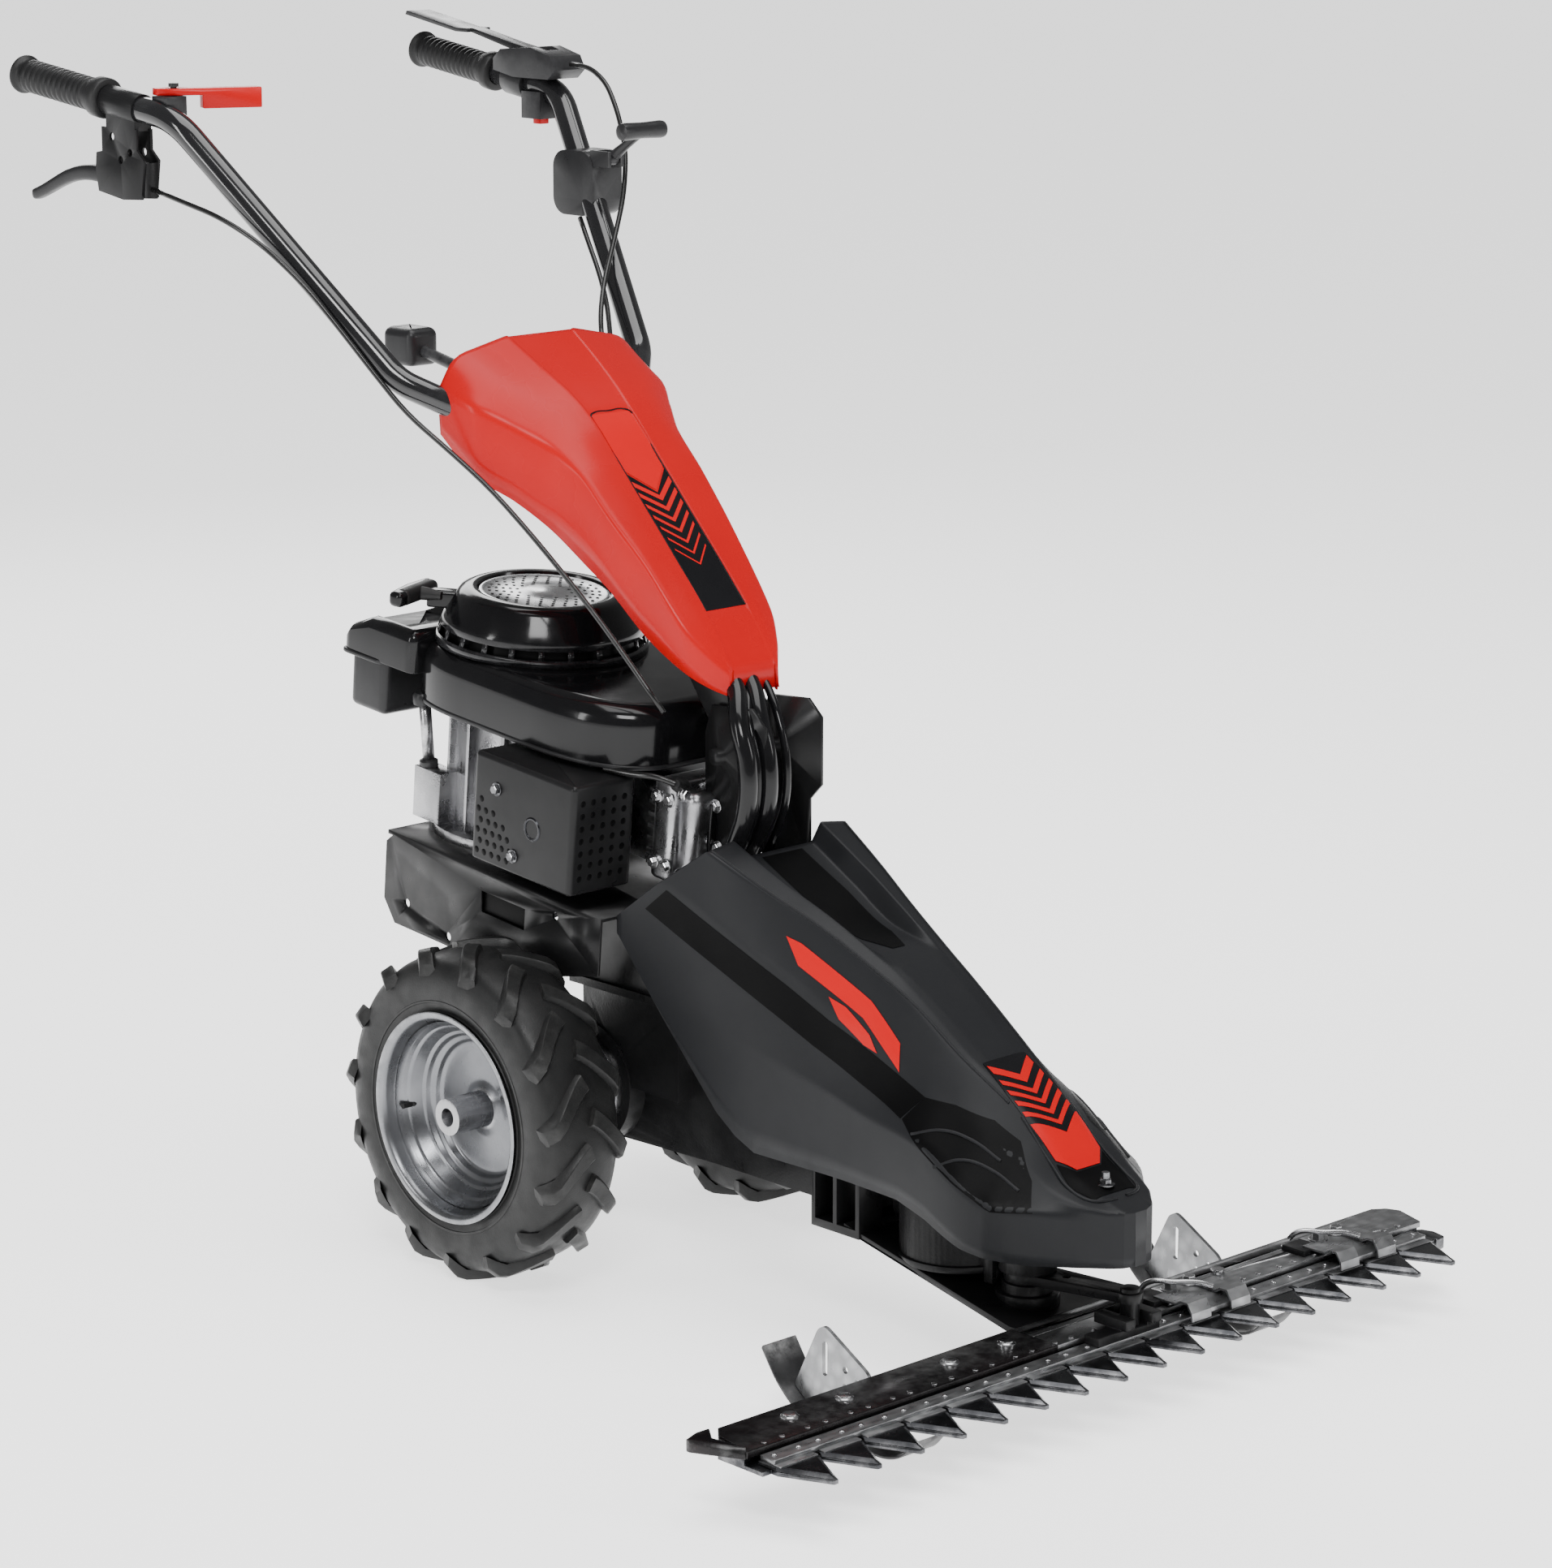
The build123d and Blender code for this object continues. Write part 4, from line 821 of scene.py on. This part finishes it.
def rim_mesh(sign):
    """Pressed rim: rolled outer flange, stepped bead seat, dished disc with two rings, welded hub seat."""
    profile = [(98, 33), (101, 46), (104.4, 49.4), (104.6, 50.4), (103.4, 51), (99.5, 50.4), (97.0, 48.6),
               (95.6, 44), (94, 38), (91.5, 32), (88, 27.5), (85.4, 25.8), (83.6, 24.6), (82.4, 20),
               (81.2, 15), (79.4, 13.2), (76.4, 12.8), (75.0, 11.4), (74.2, 7.6), (72.6, 6.2), (69.4, 5.8),
               (68.0, 4.4), (67.2, 0.8), (65.6, -0.6), (62, -1.2), (58, -1.4), (54, -1.4), (30, -1.2),
               (26, -0.6), (22, 1.4), (18.1, 2.8), (18.1, -3.4), (26, -4.4), (54, -4.6), (64, -4.0),
               (71, 2.6), (78, 9.8), (82, 22), (90, 30), (92, 36), (93, -42), (101, -49), (104, -50),
               (104, -47), (97, -40), (97, 30)]
    verts, faces = lathe(profile, (0, 0, 0), (1, 0, 0), 128, close=True)
    return [Vector((sign * (WHEEL_X + v.x), AXLE_Y + v.y, AXLE_Z + v.z)) for v in verts], faces


for side, sign in SIDES:
    body = "wheel_" + side
    piece("tread_" + side, *tyre_mesh(sign), "tyre_rubber", body, replaces=("tyre_" + side,), angle=38)
    piece("wheel_disc_" + side, *rim_mesh(sign), "silver_paint", body, replaces=("rim_" + side,), angle=50)
    valve = lathe([(0.01, 0), (3.6, 0), (3.6, 10), (2.8, 11), (2.8, 22), (0.01, 22)], (sign * (WHEEL_X + 12),
                                                                                       AXLE_Y + 84,
                                                                                       AXLE_Z - 10),
                  (sign, 0, 0), 20)
    piece("valve_" + side, *valve, "black_rubber", body, "tyre_rubber")

# ---------- grips
GRIP_REAR = Vector((256, 655, 1128.5))
GRIP_FRONT = Vector((246, 428, 1099))


def on_run(sign, y):
    """The point of a grip's centre line at y."""
    t = (y - GRIP_REAR.y) / (GRIP_FRONT.y - GRIP_REAR.y)
    p = GRIP_REAR.lerp(GRIP_FRONT, t)
    return Vector((sign * p.x, p.y, p.z))


def grip_profile(length):
    """End cap, a row of ribs, and a flange, as (radius, along) points."""
    profile = [(0.01, 0.6), (9, 0.3), (16, 0), (19, 0.8), (19.4, 2.6), (19, 4.6), (16.8, 6), (15.8, 9)]
    t = 13.0
    while t < length - 30:
        profile += [(15.6, t), (16.5, t + 1.2), (16.7, t + 3.0), (16.5, t + 5.2), (15.6, t + 6.4)]
        t += 8.4
    profile += [(16.0, length - 26), (16.6, length - 20), (18.6, length - 16), (20.2, length - 14),
                (20.4, length - 8), (20.2, length - 2), (18.6, length - 0.3), (13.4, length)]
    return profile


GRIP_END_Y = 667.4
GRIP_FLANGE_Y = 532
for side, sign in SIDES:
    start = on_run(sign, GRIP_END_Y)
    axis = on_run(sign, GRIP_FLANGE_Y) - start
    piece("grip_rubber_" + side, *lathe(grip_profile(axis.length), start, axis, 64), "black_rubber",
          "steering", replaces=("grip_" + side,), angle=50)

# ---------- engine covers
shroud_outline = [(-114, 22), (-114, -150), (-100, -206), (-62, -243), (62, -243), (100, -206), (112, -150),
                  (112, 22), (92, 74), (48, 101), (-48, 101), (-98, 74)]
engine_piece("shroud_skin", pillow(shroud_outline, 134, 194, 22, 1.5, 8, 34), "gloss_plastic",
             "black_plastic", replaces=("blower_shroud",), angle=55)
lip = pillow([(x * 1.012, y * 1.008) for x, y in shroud_outline], 132.5, 137, 1.5, 1.0, 4, 34)
engine_piece("shroud_lip", lip, "black_plastic", angle=55)

lid_outline = [(-116, 60), (-8, 60), (-8, 171), (-116, 171)]
lid = pillow(lid_outline, 160.3, 203, 12, 1.2, 6, 12)
for v in lid[0]:
    if v.z >= LID_EDGE_Z and v.y >= LID_SLOPE_Y:
        v.z = LID_EDGE_Z + (v.z - LID_EDGE_Z) * (1 - (v.y - LID_SLOPE_Y) / LID_SLOPE_RUN)
engine_piece("air_lid_skin", lid, "gloss_plastic", "black_plastic", replaces=("air_box_lid",), angle=50)
rim = pillow([(-118, 106), (-6, 106), (-6, 173), (-118, 173)], 158.5, 163, 1.4, 1.4, 3, 12)
engine_piece("air_lid_rim", rim, "black_plastic", angle=50)
engine_piece("air_case_skin", pillow([(-110, 108), (-14, 108), (-14, 164), (-110, 164)], 104, 160, 1.5, 7, 5,
                                     10), "black_plastic", replaces=("air_box",), angle=50)

# starter dome: skirt with windows, rolled shoulder and sunken top
DOME_TURNS = 120
skirt = lathe([(106.5, 194), (106.5, 199.5), (104.5, 202.5)], ORIGIN, UP, DOME_TURNS)
upper = lathe([(102.2, 211), (99, 219), (94.5, 227), (90, 235), (86.5, 241), (83.5, 245), (78, 247.6),
               (71, 248.6), (67.2, 247.6), (65.8, 244.6), (65.6, 243.4), (38, 243)], ORIGIN, UP, DOME_TURNS)
bars = []
WINDOWS = 22
for k in range(WINDOWS):
    centre = math.tau * k / WINDOWS
    ring = []
    for r, z in ((104.5, 202.5), (102.2, 211)):
        for a in (centre - 0.028, centre + 0.028):
            ring.append(Vector((r * math.cos(a), r * math.sin(a), z)))
    bars.append((ring, [(0, 1, 3, 2)]))
# the dark ring inside the skirt is painted shade seen through the windows
window_shade = lathe([(98, 196), (97, 204), (94, 214)], ORIGIN, UP, DOME_TURNS)
engine_piece("starter_dome", merge(skirt, upper, *bars), "gloss_plastic", "black_plastic",
             replaces=("recoil_cover",), wall=2.0, angle=32)
engine_piece("starter_window_shade", window_shade, "pocket_plastic", "black_plastic")

# perforated starter disc
disc = lathe([(64.6, 244.2), (64.6, 245.6), (62.5, 246.2), (60.5, 245.4), (22, 245.6), (18, 247.4),
              (0.01, 247.8)], ORIGIN, UP, 96)
engine_piece("starter_disc", disc, "bright_steel", replaces=("recoil_disc",), angle=40)
# the disc's holes are dark discs laid on its face: painted shade of the dark behind them
dots = []
for r, count in ((27, 12), (34, 16), (41, 20), (48, 24), (55, 28)):
    for k in range(count):
        a = math.tau * (k + 0.5 * (r % 2)) / count
        dots.append(lathe([(0.01, 245.95), (1.7, 245.95), (1.7, 245.5)], (r * math.cos(a), r * math.sin(a),
                                                                          0), UP, 8))
engine_piece("starter_disc_holes", merge(*dots), "pocket_plastic", "bright_steel")

# starter handle
handle = pillow([(-31, -8), (31, -8), (31, 8), (-31, 8)], -8, 8, 6, 6, 5, 7)
spin = Matrix.Translation((-92, 86, 236)) @ Matrix.Rotation(math.radians(20), 4, "Z")
stem = lathe([(0.01, -2), (7, -2), (6.4, 6), (5, 14), (4.4, 20), (0.01, 20)], (0, 0, 0), (0, -1, 0), 24)
stem = moved(stem, Matrix.Translation((-90, 80, 236)) @ Matrix.Rotation(math.radians(32), 4, "Z"))
piece("starter_grip", *moved(merge(moved(handle, spin), stem), ENGINE), "black_rubber", "starter",
      replaces=("starter_handle",), angle=50)

# ---------- shift rod and knob
rod = lathe([(0.01, 0), (6, 0), (6, 215), (0.01, 215)], (0, 150, 816), (0, 210, 42), 28)
knob = pillow([(-19, 353), (19, 353), (19, 399), (-19, 399)], 842, 880, 9, 6, 6, 9)
piece("shift_knob", *merge(rod, knob), "black_plastic", "shift", replaces=("shift_lever",), angle=50)

# ---------- throttle T-lever
bar_profile = [(0.01, -29), (5, -29), (8.4, -27.6), (9, -24), (8.6, -12), (8.2, 0)]
bar_profile += [(r, -t) for r, t in reversed(bar_profile[:-1])]
cross = lathe(bar_profile, THROTTLE_AT, (1, 0, 0), 32)
stem_axis = Vector(THROTTLE_HUB) - Vector(THROTTLE_AT)
stem = lathe([(0.01, 0), (5.6, 0), (5.0, 12), (4.6, 30), (5.8, 48), (0.01, 50)], THROTTLE_AT, stem_axis, 24)
hub = lathe([(3.1, -6), (6.5, -6), (6.5, 6), (3.1, 6)], THROTTLE_HUB, (1, 0, 0), 32, close=True)
piece("throttle_tee", *merge(cross, stem, hub), "black_plastic", "throttle", replaces=("throttle_lever",),
      angle=45)

# ---------- conduits from the hood's nose down to the gearbox
for k, (x0, x1, r) in enumerate(((-18, -46, 9.5), (2, -20, 9.5), (20, 4, 4.0), (-4, -33, 3.4))):
    hose = cable(f"hose_{k}", [(x0, -104, 604), (x0 - 3, -128, 590), (x1 + 4, -158, 560), (x1, -174, 520),
                               (x1, -172, 480), (x1 + 1, -160, 452), (x1 + 4, -140, 420)], r,
                 "gloss_plastic", None, steps=16)
    bpy.context.view_layer.update()
    hose_mesh = bpy.data.meshes.new_from_object(hose.evaluated_get(bpy.context.evaluated_depsgraph_get()))
    bpy.data.objects.remove(hose)
    hose_mesh.name = f"conduit_{k}"
    hose_mesh.shade_smooth()
    conduit = bpy.data.objects.new(f"conduit_{k}", hose_mesh)
    bpy.context.scene.collection.objects.link(conduit)
    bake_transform(conduit)

# ---------- bracket bolts
bracket_bits = [hex_head((50, -115, 520), (1, 0, 0), 13, 6)]
for y, z in ((-150, 548), (-110, 470), (-150, 500), (-112, 430)):
    bracket_bits += [hex_head((x, y, z), (math.copysign(1, x), 0, 0), 8, 4) for x in (50, -27)]
piece("bracket_bolts", *merge(*bracket_bits), "bright_steel", "chassis", angle=30)

# dark plates behind the slots of the engine frame: painted shade filling the windows of the slots
SLOT_SHADE_X = (117.2, 118.6)
SLOT_SHADE_Y = (-142, -64)
slot_shades = []
for s in (-1, 1):
    outline = [(s * SLOT_SHADE_X[0], SLOT_SHADE_Y[0]), (s * SLOT_SHADE_X[1], SLOT_SHADE_Y[0]), (s * SLOT_SHADE_X[1], SLOT_SHADE_Y[1]),
               (s * SLOT_SHADE_X[0], SLOT_SHADE_Y[1])]
    slot_shades.append(pillow(outline, -54, -20, 0.2, 0.2, 2, 0.3))
engine_piece("frame_slot_shade", merge(*slot_shades), "pocket_plastic", "black_steel", angle=40)

# ---------- seat of the starter handle
seat = merge(pillow([(-62, 50), (-50, 62), (-76, 88), (-88, 76)], 222, 240, 4, 3, 4, 4),
             pillow([(-128, 66), (-66, 88), (-60, 104), (-66, 108), (-96, 100), (-132, 82)], 228, 243, 5, 5,
                    5, 6))
engine_piece("starter_seat", seat, "gloss_plastic", "black_plastic", angle=50)

# ---------- muffler guard
guard_outline = [(GUARD_SIDE_X, GUARD_FRONT_Y), (-72, GUARD_FRONT_Y), (-72, -83), (GUARD_SIDE_X, -83)]
guard = pillow(guard_outline, 18, 127, 5, 3, 5, 6)
engine_piece("guard_box", guard, "black_steel", replaces=("muffler_guard",), angle=50)
# the vent holes are dark discs laid on the guard: painted shade of the dark behind them
vents = []
for i in range(5):
    for j in range(7):
        at = (-138 + 13 * i, GUARD_FRONT_Y, 34 + 12.5 * j)
        vents.append(lathe([(0.01, 0.35), (2.7, 0.35), (3.3, 0.0)], at, (0, -1, 0), 14))
for i in range(5):
    for j in range(7):
        if j < 6 - i or (i + j) % 3 == 0 and j < 5:
            at = (GUARD_SIDE_X, -92 - 11 * i - 4 * (j % 2), 28 + 10.5 * j)
            vents.append(lathe([(0.01, 0.35), (2.8, 0.35), (3.4, 0.0)], at, (-1, 0, 0), 14))
engine_piece("guard_vents", merge(*vents), "pocket_plastic", "black_steel", angle=50)
guard_bolts = [hex_head((GUARD_SIDE_X, y, z), (-1, 0, 0), 8, 4) for y, z in ((-118, 96), (-146, 36))]
dimple = lathe([(12, 0.2), (10.5, 0.9), (9, 0.6), (8, -1.5), (0.01, -2.0)], (GUARD_SIDE_X, -172, 70),
               (-1, 0, 0), 36)
engine_piece("guard_bolts", merge(*guard_bolts, dimple), "blade_dark", "bright_steel", angle=30)

# ---------- cylinder head details
cover_box = pillow([(-52, -294), (44, -294), (44, -262), (-52, -262)], 34, 120, 10, 8, 6, 12)
rim_box = pillow([(-60, -272), (54, -272), (54, -240), (-60, -240)], 27, 127, 6, 6, 5, 10)
engine_piece("rocker_cover", merge(cover_box, rim_box), "aluminium_casting", angle=45)
head_bits = [hex_head((x, -276, z), (0, -1, 0), 9, 5) for x in (-53, 48) for z in (36, 118)]
head_bits += [hex_head((-60, y, z), (-1, 0, 0), 8, 4) for y in (-266, -248) for z in (44, 110)]
engine_piece("rocker_bolts", merge(*head_bits), "bright_steel", angle=30)
ribs = [pillow([(x, -297), (x + 8, -297), (x + 8, -291), (x, -291)], 42, 110, 2, 2, 3, 2) for x in range(-34,
                                                                                                         34,
                                                                                                         17)]
engine_piece("rocker_ribs", merge(*ribs), "gloss_plastic", "aluminium_casting", angle=45)
plug = lathe([(0.01, 0), (9, 0), (9, 12), (7, 14), (6.4, 26), (4, 30), (0.01, 30)], (-40, -262, 118),
             (-1, -0.6, 0.5), 28)
engine_piece("spark_boot", plug, "black_rubber", angle=45)
lead = ((-64, -276, 130), (-74, -262, 134), (-84, -236, 132), (-92, -206, 131))
cable("spark_lead", [ENGINE @ Vector(q) for q in lead], 3.2, "cable_sheath", "chassis")

# crankcase ribs, sump flange bolts and the collars of the filler tube
case_sets = []
for k in range(9):
    turn = Matrix.Rotation(math.radians(70 + 27.5 * k), 4, "Z")
    case_sets.append(moved(pillow([(80, -2.2), (90, -2.2), (90, 2.2), (80, 2.2)], 8, 124, 2, 2, 3, 1.4),
                           turn))
for k in range(8):
    a = math.radians(22 + 45 * k)
    case_sets.append(hex_head((96 * math.cos(a), 96 * math.sin(a), 10), UP, 8, 6))
engine_piece("crankcase_ribs", merge(*case_sets), "aluminium_casting", angle=40)
collar = lathe([(0.01, 0), (10, 0), (10.6, 3), (10.4, 9), (8, 12), (0.01, 12)], (-97, 62, 128),
               (-0.1, 0.02, 1), 32)
foot_ring = lathe([(6.2, 0), (9.4, 0), (9.4, 6), (6.2, 8)], (-88, 60, 62), (-0.11, 0.03, 1), 28)
engine_piece("filler_fittings", merge(collar, foot_ring), "black_plastic", angle=40)

# ---------- cutter bar dressing
for node, material in (("bar_plate", "galvanised_steel"), ("knife_back", "galvanised_steel"),
                       ("bar_bolts", "bright_steel"), ("bar_rivets", "bright_steel")):
    NODES[node].data.materials[0] = FINISHES[material]
BAR_FRONT_Y = -597.5
near = pillow([(-440.5, BAR_FRONT_Y), (-62, BAR_FRONT_Y), (-62, -539.5), (-421, -539.5), (-432, -552)], 59.6,
              66.5, 0.9, 0.9, 2, 1.0)
piece("bar_plate_black", *near, "bar_black", "chassis", "black_steel", angle=40)
NODES["bar_divider"].data.materials[0] = FINISHES["bar_black"]

BLADE_BASE = 53.3
BLADE_TOP = 56.5
TOOTH_X = [(i - TOOTH_COUNT // 2) * TOOTH_PITCH for i in range(TOOTH_COUNT)]
blade_foot = [(-23.9, -600), (23.9, -600), (23.9, -624), (1.5, -670), (-1.5, -670), (-23.9, -624)]
blade_face = [(-23.9, -600), (23.9, -600), (23.9, -622), (19.5, -624.5), (0.9, -662), (-0.9, -662),
              (-19.5, -624.5), (-23.9, -622)]
blade_faces = [(5, 4, 3, 2, 1, 0), (6, 7, 8, 9, 10, 11, 12, 13), (0, 1, 7, 6), (1, 2, 8, 7),
               (2, 3, 10, 9, 8), (3, 4, 11, 10), (4, 5, 13, 12, 11), (5, 0, 6, 13)]
blade_sets = []
root_sets = []
rivet_heads = []
for x in TOOTH_X:
    blade = [Vector((x + u, y, BLADE_BASE)) for u, y in blade_foot]
    blade += [Vector((x + u, y, BLADE_TOP)) for u, y in blade_face]
    blade_sets.append((blade, blade_faces))
    root_sets.append(pillow([(x - 22, -625.5), (x + 22, -625.5), (x + 22, -600), (x - 22, -600)], 56.2, 57.6,
                            0.5, 0.2, 2, 1))
    rivet_heads += [pan_head((x + dx, -609, 61.2), UP, 2.6, 1.6) for dx in (-14, 14)]
piece("blade_sections", *merge(*blade_sets), "blade_dark", "knife", "knife_steel", ("knife_blades",),
      smooth=False, bevel=0.35)
piece("blade_roots", *merge(*root_sets), "galvanised_steel", "knife", angle=40)
piece("knife_rivets", *merge(*rivet_heads), "bright_steel", "knife", "galvanised_steel", angle=40)
slotted = [lathe([(0.01, 1.6), (3.0, 1.6), (3.2, 2.6), (7.2, 2.4), (8.4, 1.4), (8.8, 0)], (x, -563, 66.4),
                 UP, 30) for x in SLOT_BOLT_X]
piece("slot_bolts", *merge(*slotted), "bright_steel", "chassis", angle=30)

# each hold-down clip has two bent tabs and two bolts, a sprung rod and a dark block beside it
TAB_HALF = 13
tab = [(-580, 71.2), (-580, 73.4), (-607, 73.4), (-613, 77), (-622, 77), (-628, 68), (-629, 60),
       (-626.6, 60), (-626, 67), (-621, 74.6), (-614, 74.6), (-608, 71.2)]
corners = len(tab)
tab_faces = [tuple(range(corners)), tuple(range(2 * corners - 1, corners - 1, -1))]
tab_faces += [(k, (k + 1) % corners, (k + 1) % corners + corners, k + corners) for k in range(corners)]
clip_sets = []
for x in CLIP_X:
    for middle in (x - 30, x + 24):
        ends = (middle - TAB_HALF, middle + TAB_HALF)
        clip_sets.append(([Vector((end, y, z)) for end in ends for y, z in tab], tab_faces))
    clip_sets += [hex_head((x + dx, -574, 71), UP, 11, 6.5) for dx in (-13, 13)]
piece("clip_tabs", *merge(*clip_sets), "galvanised_steel", "chassis", smooth=False, bevel=0.5)
rod_line = ((-34, -556, 72), (-30, -562, 79), (-14, -580, 80), (4, -596, 79), (12, -604, 76))
for k, x in enumerate(CLIP_X):
    cable(f"clip_rod_{k}", [(x + dx, y, z) for dx, y, z in rod_line], 2.6, "bright_steel", "chassis")
dark_blocks = [pillow([(x - 52, -590), (x - 26, -590), (x - 26, -562), (x - 52, -562)], 66.2, 72, 1.2, 0.4,
                      2, 1.5) for x in CLIP_X]
piece("clip_blocks", *merge(*dark_blocks), "black_steel", "chassis", angle=40)

# ---------- skids: zinc hanger and dark sole
sole_line = rounded([Vector((0, y, z)) for y, z in ((-413, 61), (-432, 34), (-455, 15), (-485, 3.5),
                                                    (-510, 0.2), (-570, 0.2), (-590, 7), (-603, 22))], 12, 4)
sole_top = [Vector((0, p.y - 0.4, p.z + 3.4)) for p in sole_line]
hanger_line = rounded([Vector((0, y, z)) for y, z in ((-440, 32), (-470, 92), (-478, 96), (-486, 92),
                                                      (-532, 66), (-537, 58), (-537, 4), (-510, 4),
                                                      (-486, 8), (-457, 19))], 4, 3, close=True, mids=0)


def circle(y, z, r, count):
    """A ring of (y, z) points."""
    return [(y + r * math.cos(math.tau * k / count), z + r * math.sin(math.tau * k / count))
            for k in range(count)]


SLOT_AT = (-479, 66)
HALF_SLOT = 13
ROUND_HOLES = ((-505, 62, 3.3), (-505, 46, 3.3), (-520, 54, 3.3), (-505, 30, 3.0))
slot_ring = [(y, z + math.copysign(HALF_SLOT, z - SLOT_AT[1])) for y, z in circle(*SLOT_AT, 3.2, 20)]
hanger_rings = [[(p.y, p.z) for p in hanger_line], slot_ring] + [circle(y, z, r, 16) for y, z,
                                                                 r in ROUND_HOLES]
for side, sign in SIDES:
    x = sign * SKID_X
    verts = []
    for u, inset in ((-21, 0.8), (-20, 0), (20, 0), (21, 0.8)):
        verts += [Vector((x + u, p.y, p.z + inset)) for p in sole_line]
        verts += [Vector((x + u, p.y, p.z - inset)) for p in reversed(sole_top)]
    count = 2 * len(sole_line)
    faces = grid_faces(4, count, close_v=True)
    faces += [tuple(range(count)), tuple(range(4 * count - 1, 3 * count - 1, -1))]
    body = "skid_" + side + "_body"
    piece("sole_" + side, verts, faces, "skid_steel", body, replaces=("skid_" + side,), angle=40)
    b = bmesh.new()
    edges = []
    for ring in hanger_rings:
        corners = [b.verts.new((x - 2, y, z)) for y, z in ring]
        edges += [b.edges.new((corners[k], corners[(k + 1) % len(corners)])) for k in range(len(corners))]
    bmesh.ops.triangle_fill(b, edges=edges, use_beauty=True)
    hanger = from_bmesh("hanger_" + side, b, "galvanised_steel", body, slot="galvanised_steel", smooth=False)
    wall = hanger.modifiers.new("wall", "SOLIDIFY")
    wall.thickness = 0.004
    wall.offset = -sign

# ---------- clutch lever
lever_line = [((508, 1032), 10), ((530, 1034), 9.5), ((552, 1038), 8.6), ((580, 1038), 8.0),
              ((608, 1032), 7.2), ((634, 1021), 6.4), ((654, 1013), 6.0), ((664, 1009.5), 6.4),
              ((669, 1009), 5.2)]
LEVER_SIDES = 16
verts = []
for k, ((y, z), r) in enumerate(lever_line):
    before = lever_line[max(k - 1, 0)][0]
    after = lever_line[min(k + 1, len(lever_line) - 1)][0]
    d = Vector((0, after[0] - before[0], after[1] - before[1])).normalized()
    up = Vector((0, -d.z, d.y))
    for m in range(LEVER_SIDES):
        a = math.tau * m / LEVER_SIDES
        sx = math.copysign(abs(math.cos(a)) ** 0.6, math.cos(a)) * 6.4
        sz = math.copysign(abs(math.sin(a)) ** 0.7, math.sin(a)) * r
        verts.append(Vector((CLUTCH_X + sx, y, z)) + up * sz)
faces = grid_faces(len(lever_line), LEVER_SIDES, close_v=True)
faces += [tuple(range(LEVER_SIDES - 1, -1, -1)), tuple(range(len(verts) - LEVER_SIDES, len(verts)))]
piece("clutch_lever_skin", verts, faces, "black_plastic", "clutch", replaces=("clutch_lever",), angle=60,
      subsurf=1)

# ---------- floor and lights, in metres
FLOOR_R = 70
FLOOR_SIDES = 48
FLOOR_Z = -0.0004
floor_mesh = bpy.data.meshes.new("floor")
corner_angles = [math.tau * k / FLOOR_SIDES for k in range(FLOOR_SIDES)]
floor_mesh.from_pydata([(FLOOR_R * math.cos(a), FLOOR_R * math.sin(a), FLOOR_Z) for a in corner_angles], [],
                       [tuple(range(FLOOR_SIDES))])
floor = bpy.data.objects.new("floor", floor_mesh)
bpy.context.scene.collection.objects.link(floor)
floor_tree, floor_shader = principled("floor_paper")
paper = noise(floor_tree, 3, 3)
floor_tree.links.new(mixed(floor_tree, paper.outputs["Fac"], (0.88, 0.88, 0.88), (0.90, 0.90, 0.90)),
                     floor_shader.inputs["Base Color"])
floor_shader.inputs["Roughness"].default_value = 0.85
floor_shader.inputs["Specular IOR Level"].default_value = 0.1
floor_shader.inputs["Emission Color"].default_value = (1, 1, 1, 1)
floor_shader.inputs["Emission Strength"].default_value = 1.5
floor_mesh.materials.append(FINISHES["floor_paper"])


def softbox(name, at, aim, width, height, power):
    """A white rectangular light at a point, aimed at another."""
    data = bpy.data.lights.new(name, "AREA")
    data.shape = "RECTANGLE"
    data.size = width
    data.size_y = height
    data.energy = power
    light = bpy.data.objects.new(name, data)
    light.location = at
    light.rotation_euler = (Vector(aim) - Vector(at)).to_track_quat("-Z", "Y").to_euler()
    bpy.context.scene.collection.objects.link(light)


softbox("key", (-2.2, -2.2, 3.6), (0, -0.1, 0.5), 1.4, 1.1, 95)
softbox("top", (0.2, -0.2, 4.2), (0, 0, 0.2), 3.0, 3.0, 150)
softbox("front", (1.8, -3.4, 1.9), (0.1, -0.4, 0.3), 0.6, 1.4, 26)
softbox("side", (-3.4, 0.8, 1.6), (0, 0, 0.5), 0.4, 1.8, 34)
softbox("rear", (1.6, 3.4, 2.2), (0, 0.2, 0.7), 2.0, 1.4, 50)
world = bpy.data.worlds.new("studio")
world.use_nodes = True
sky = world.node_tree.nodes["Background"]
sky.inputs["Color"].default_value = (1, 1, 1, 1)
sky.inputs["Strength"].default_value = 0.22
bpy.context.scene.world = world

# ---------- update the scene
bpy.context.view_layer.update()
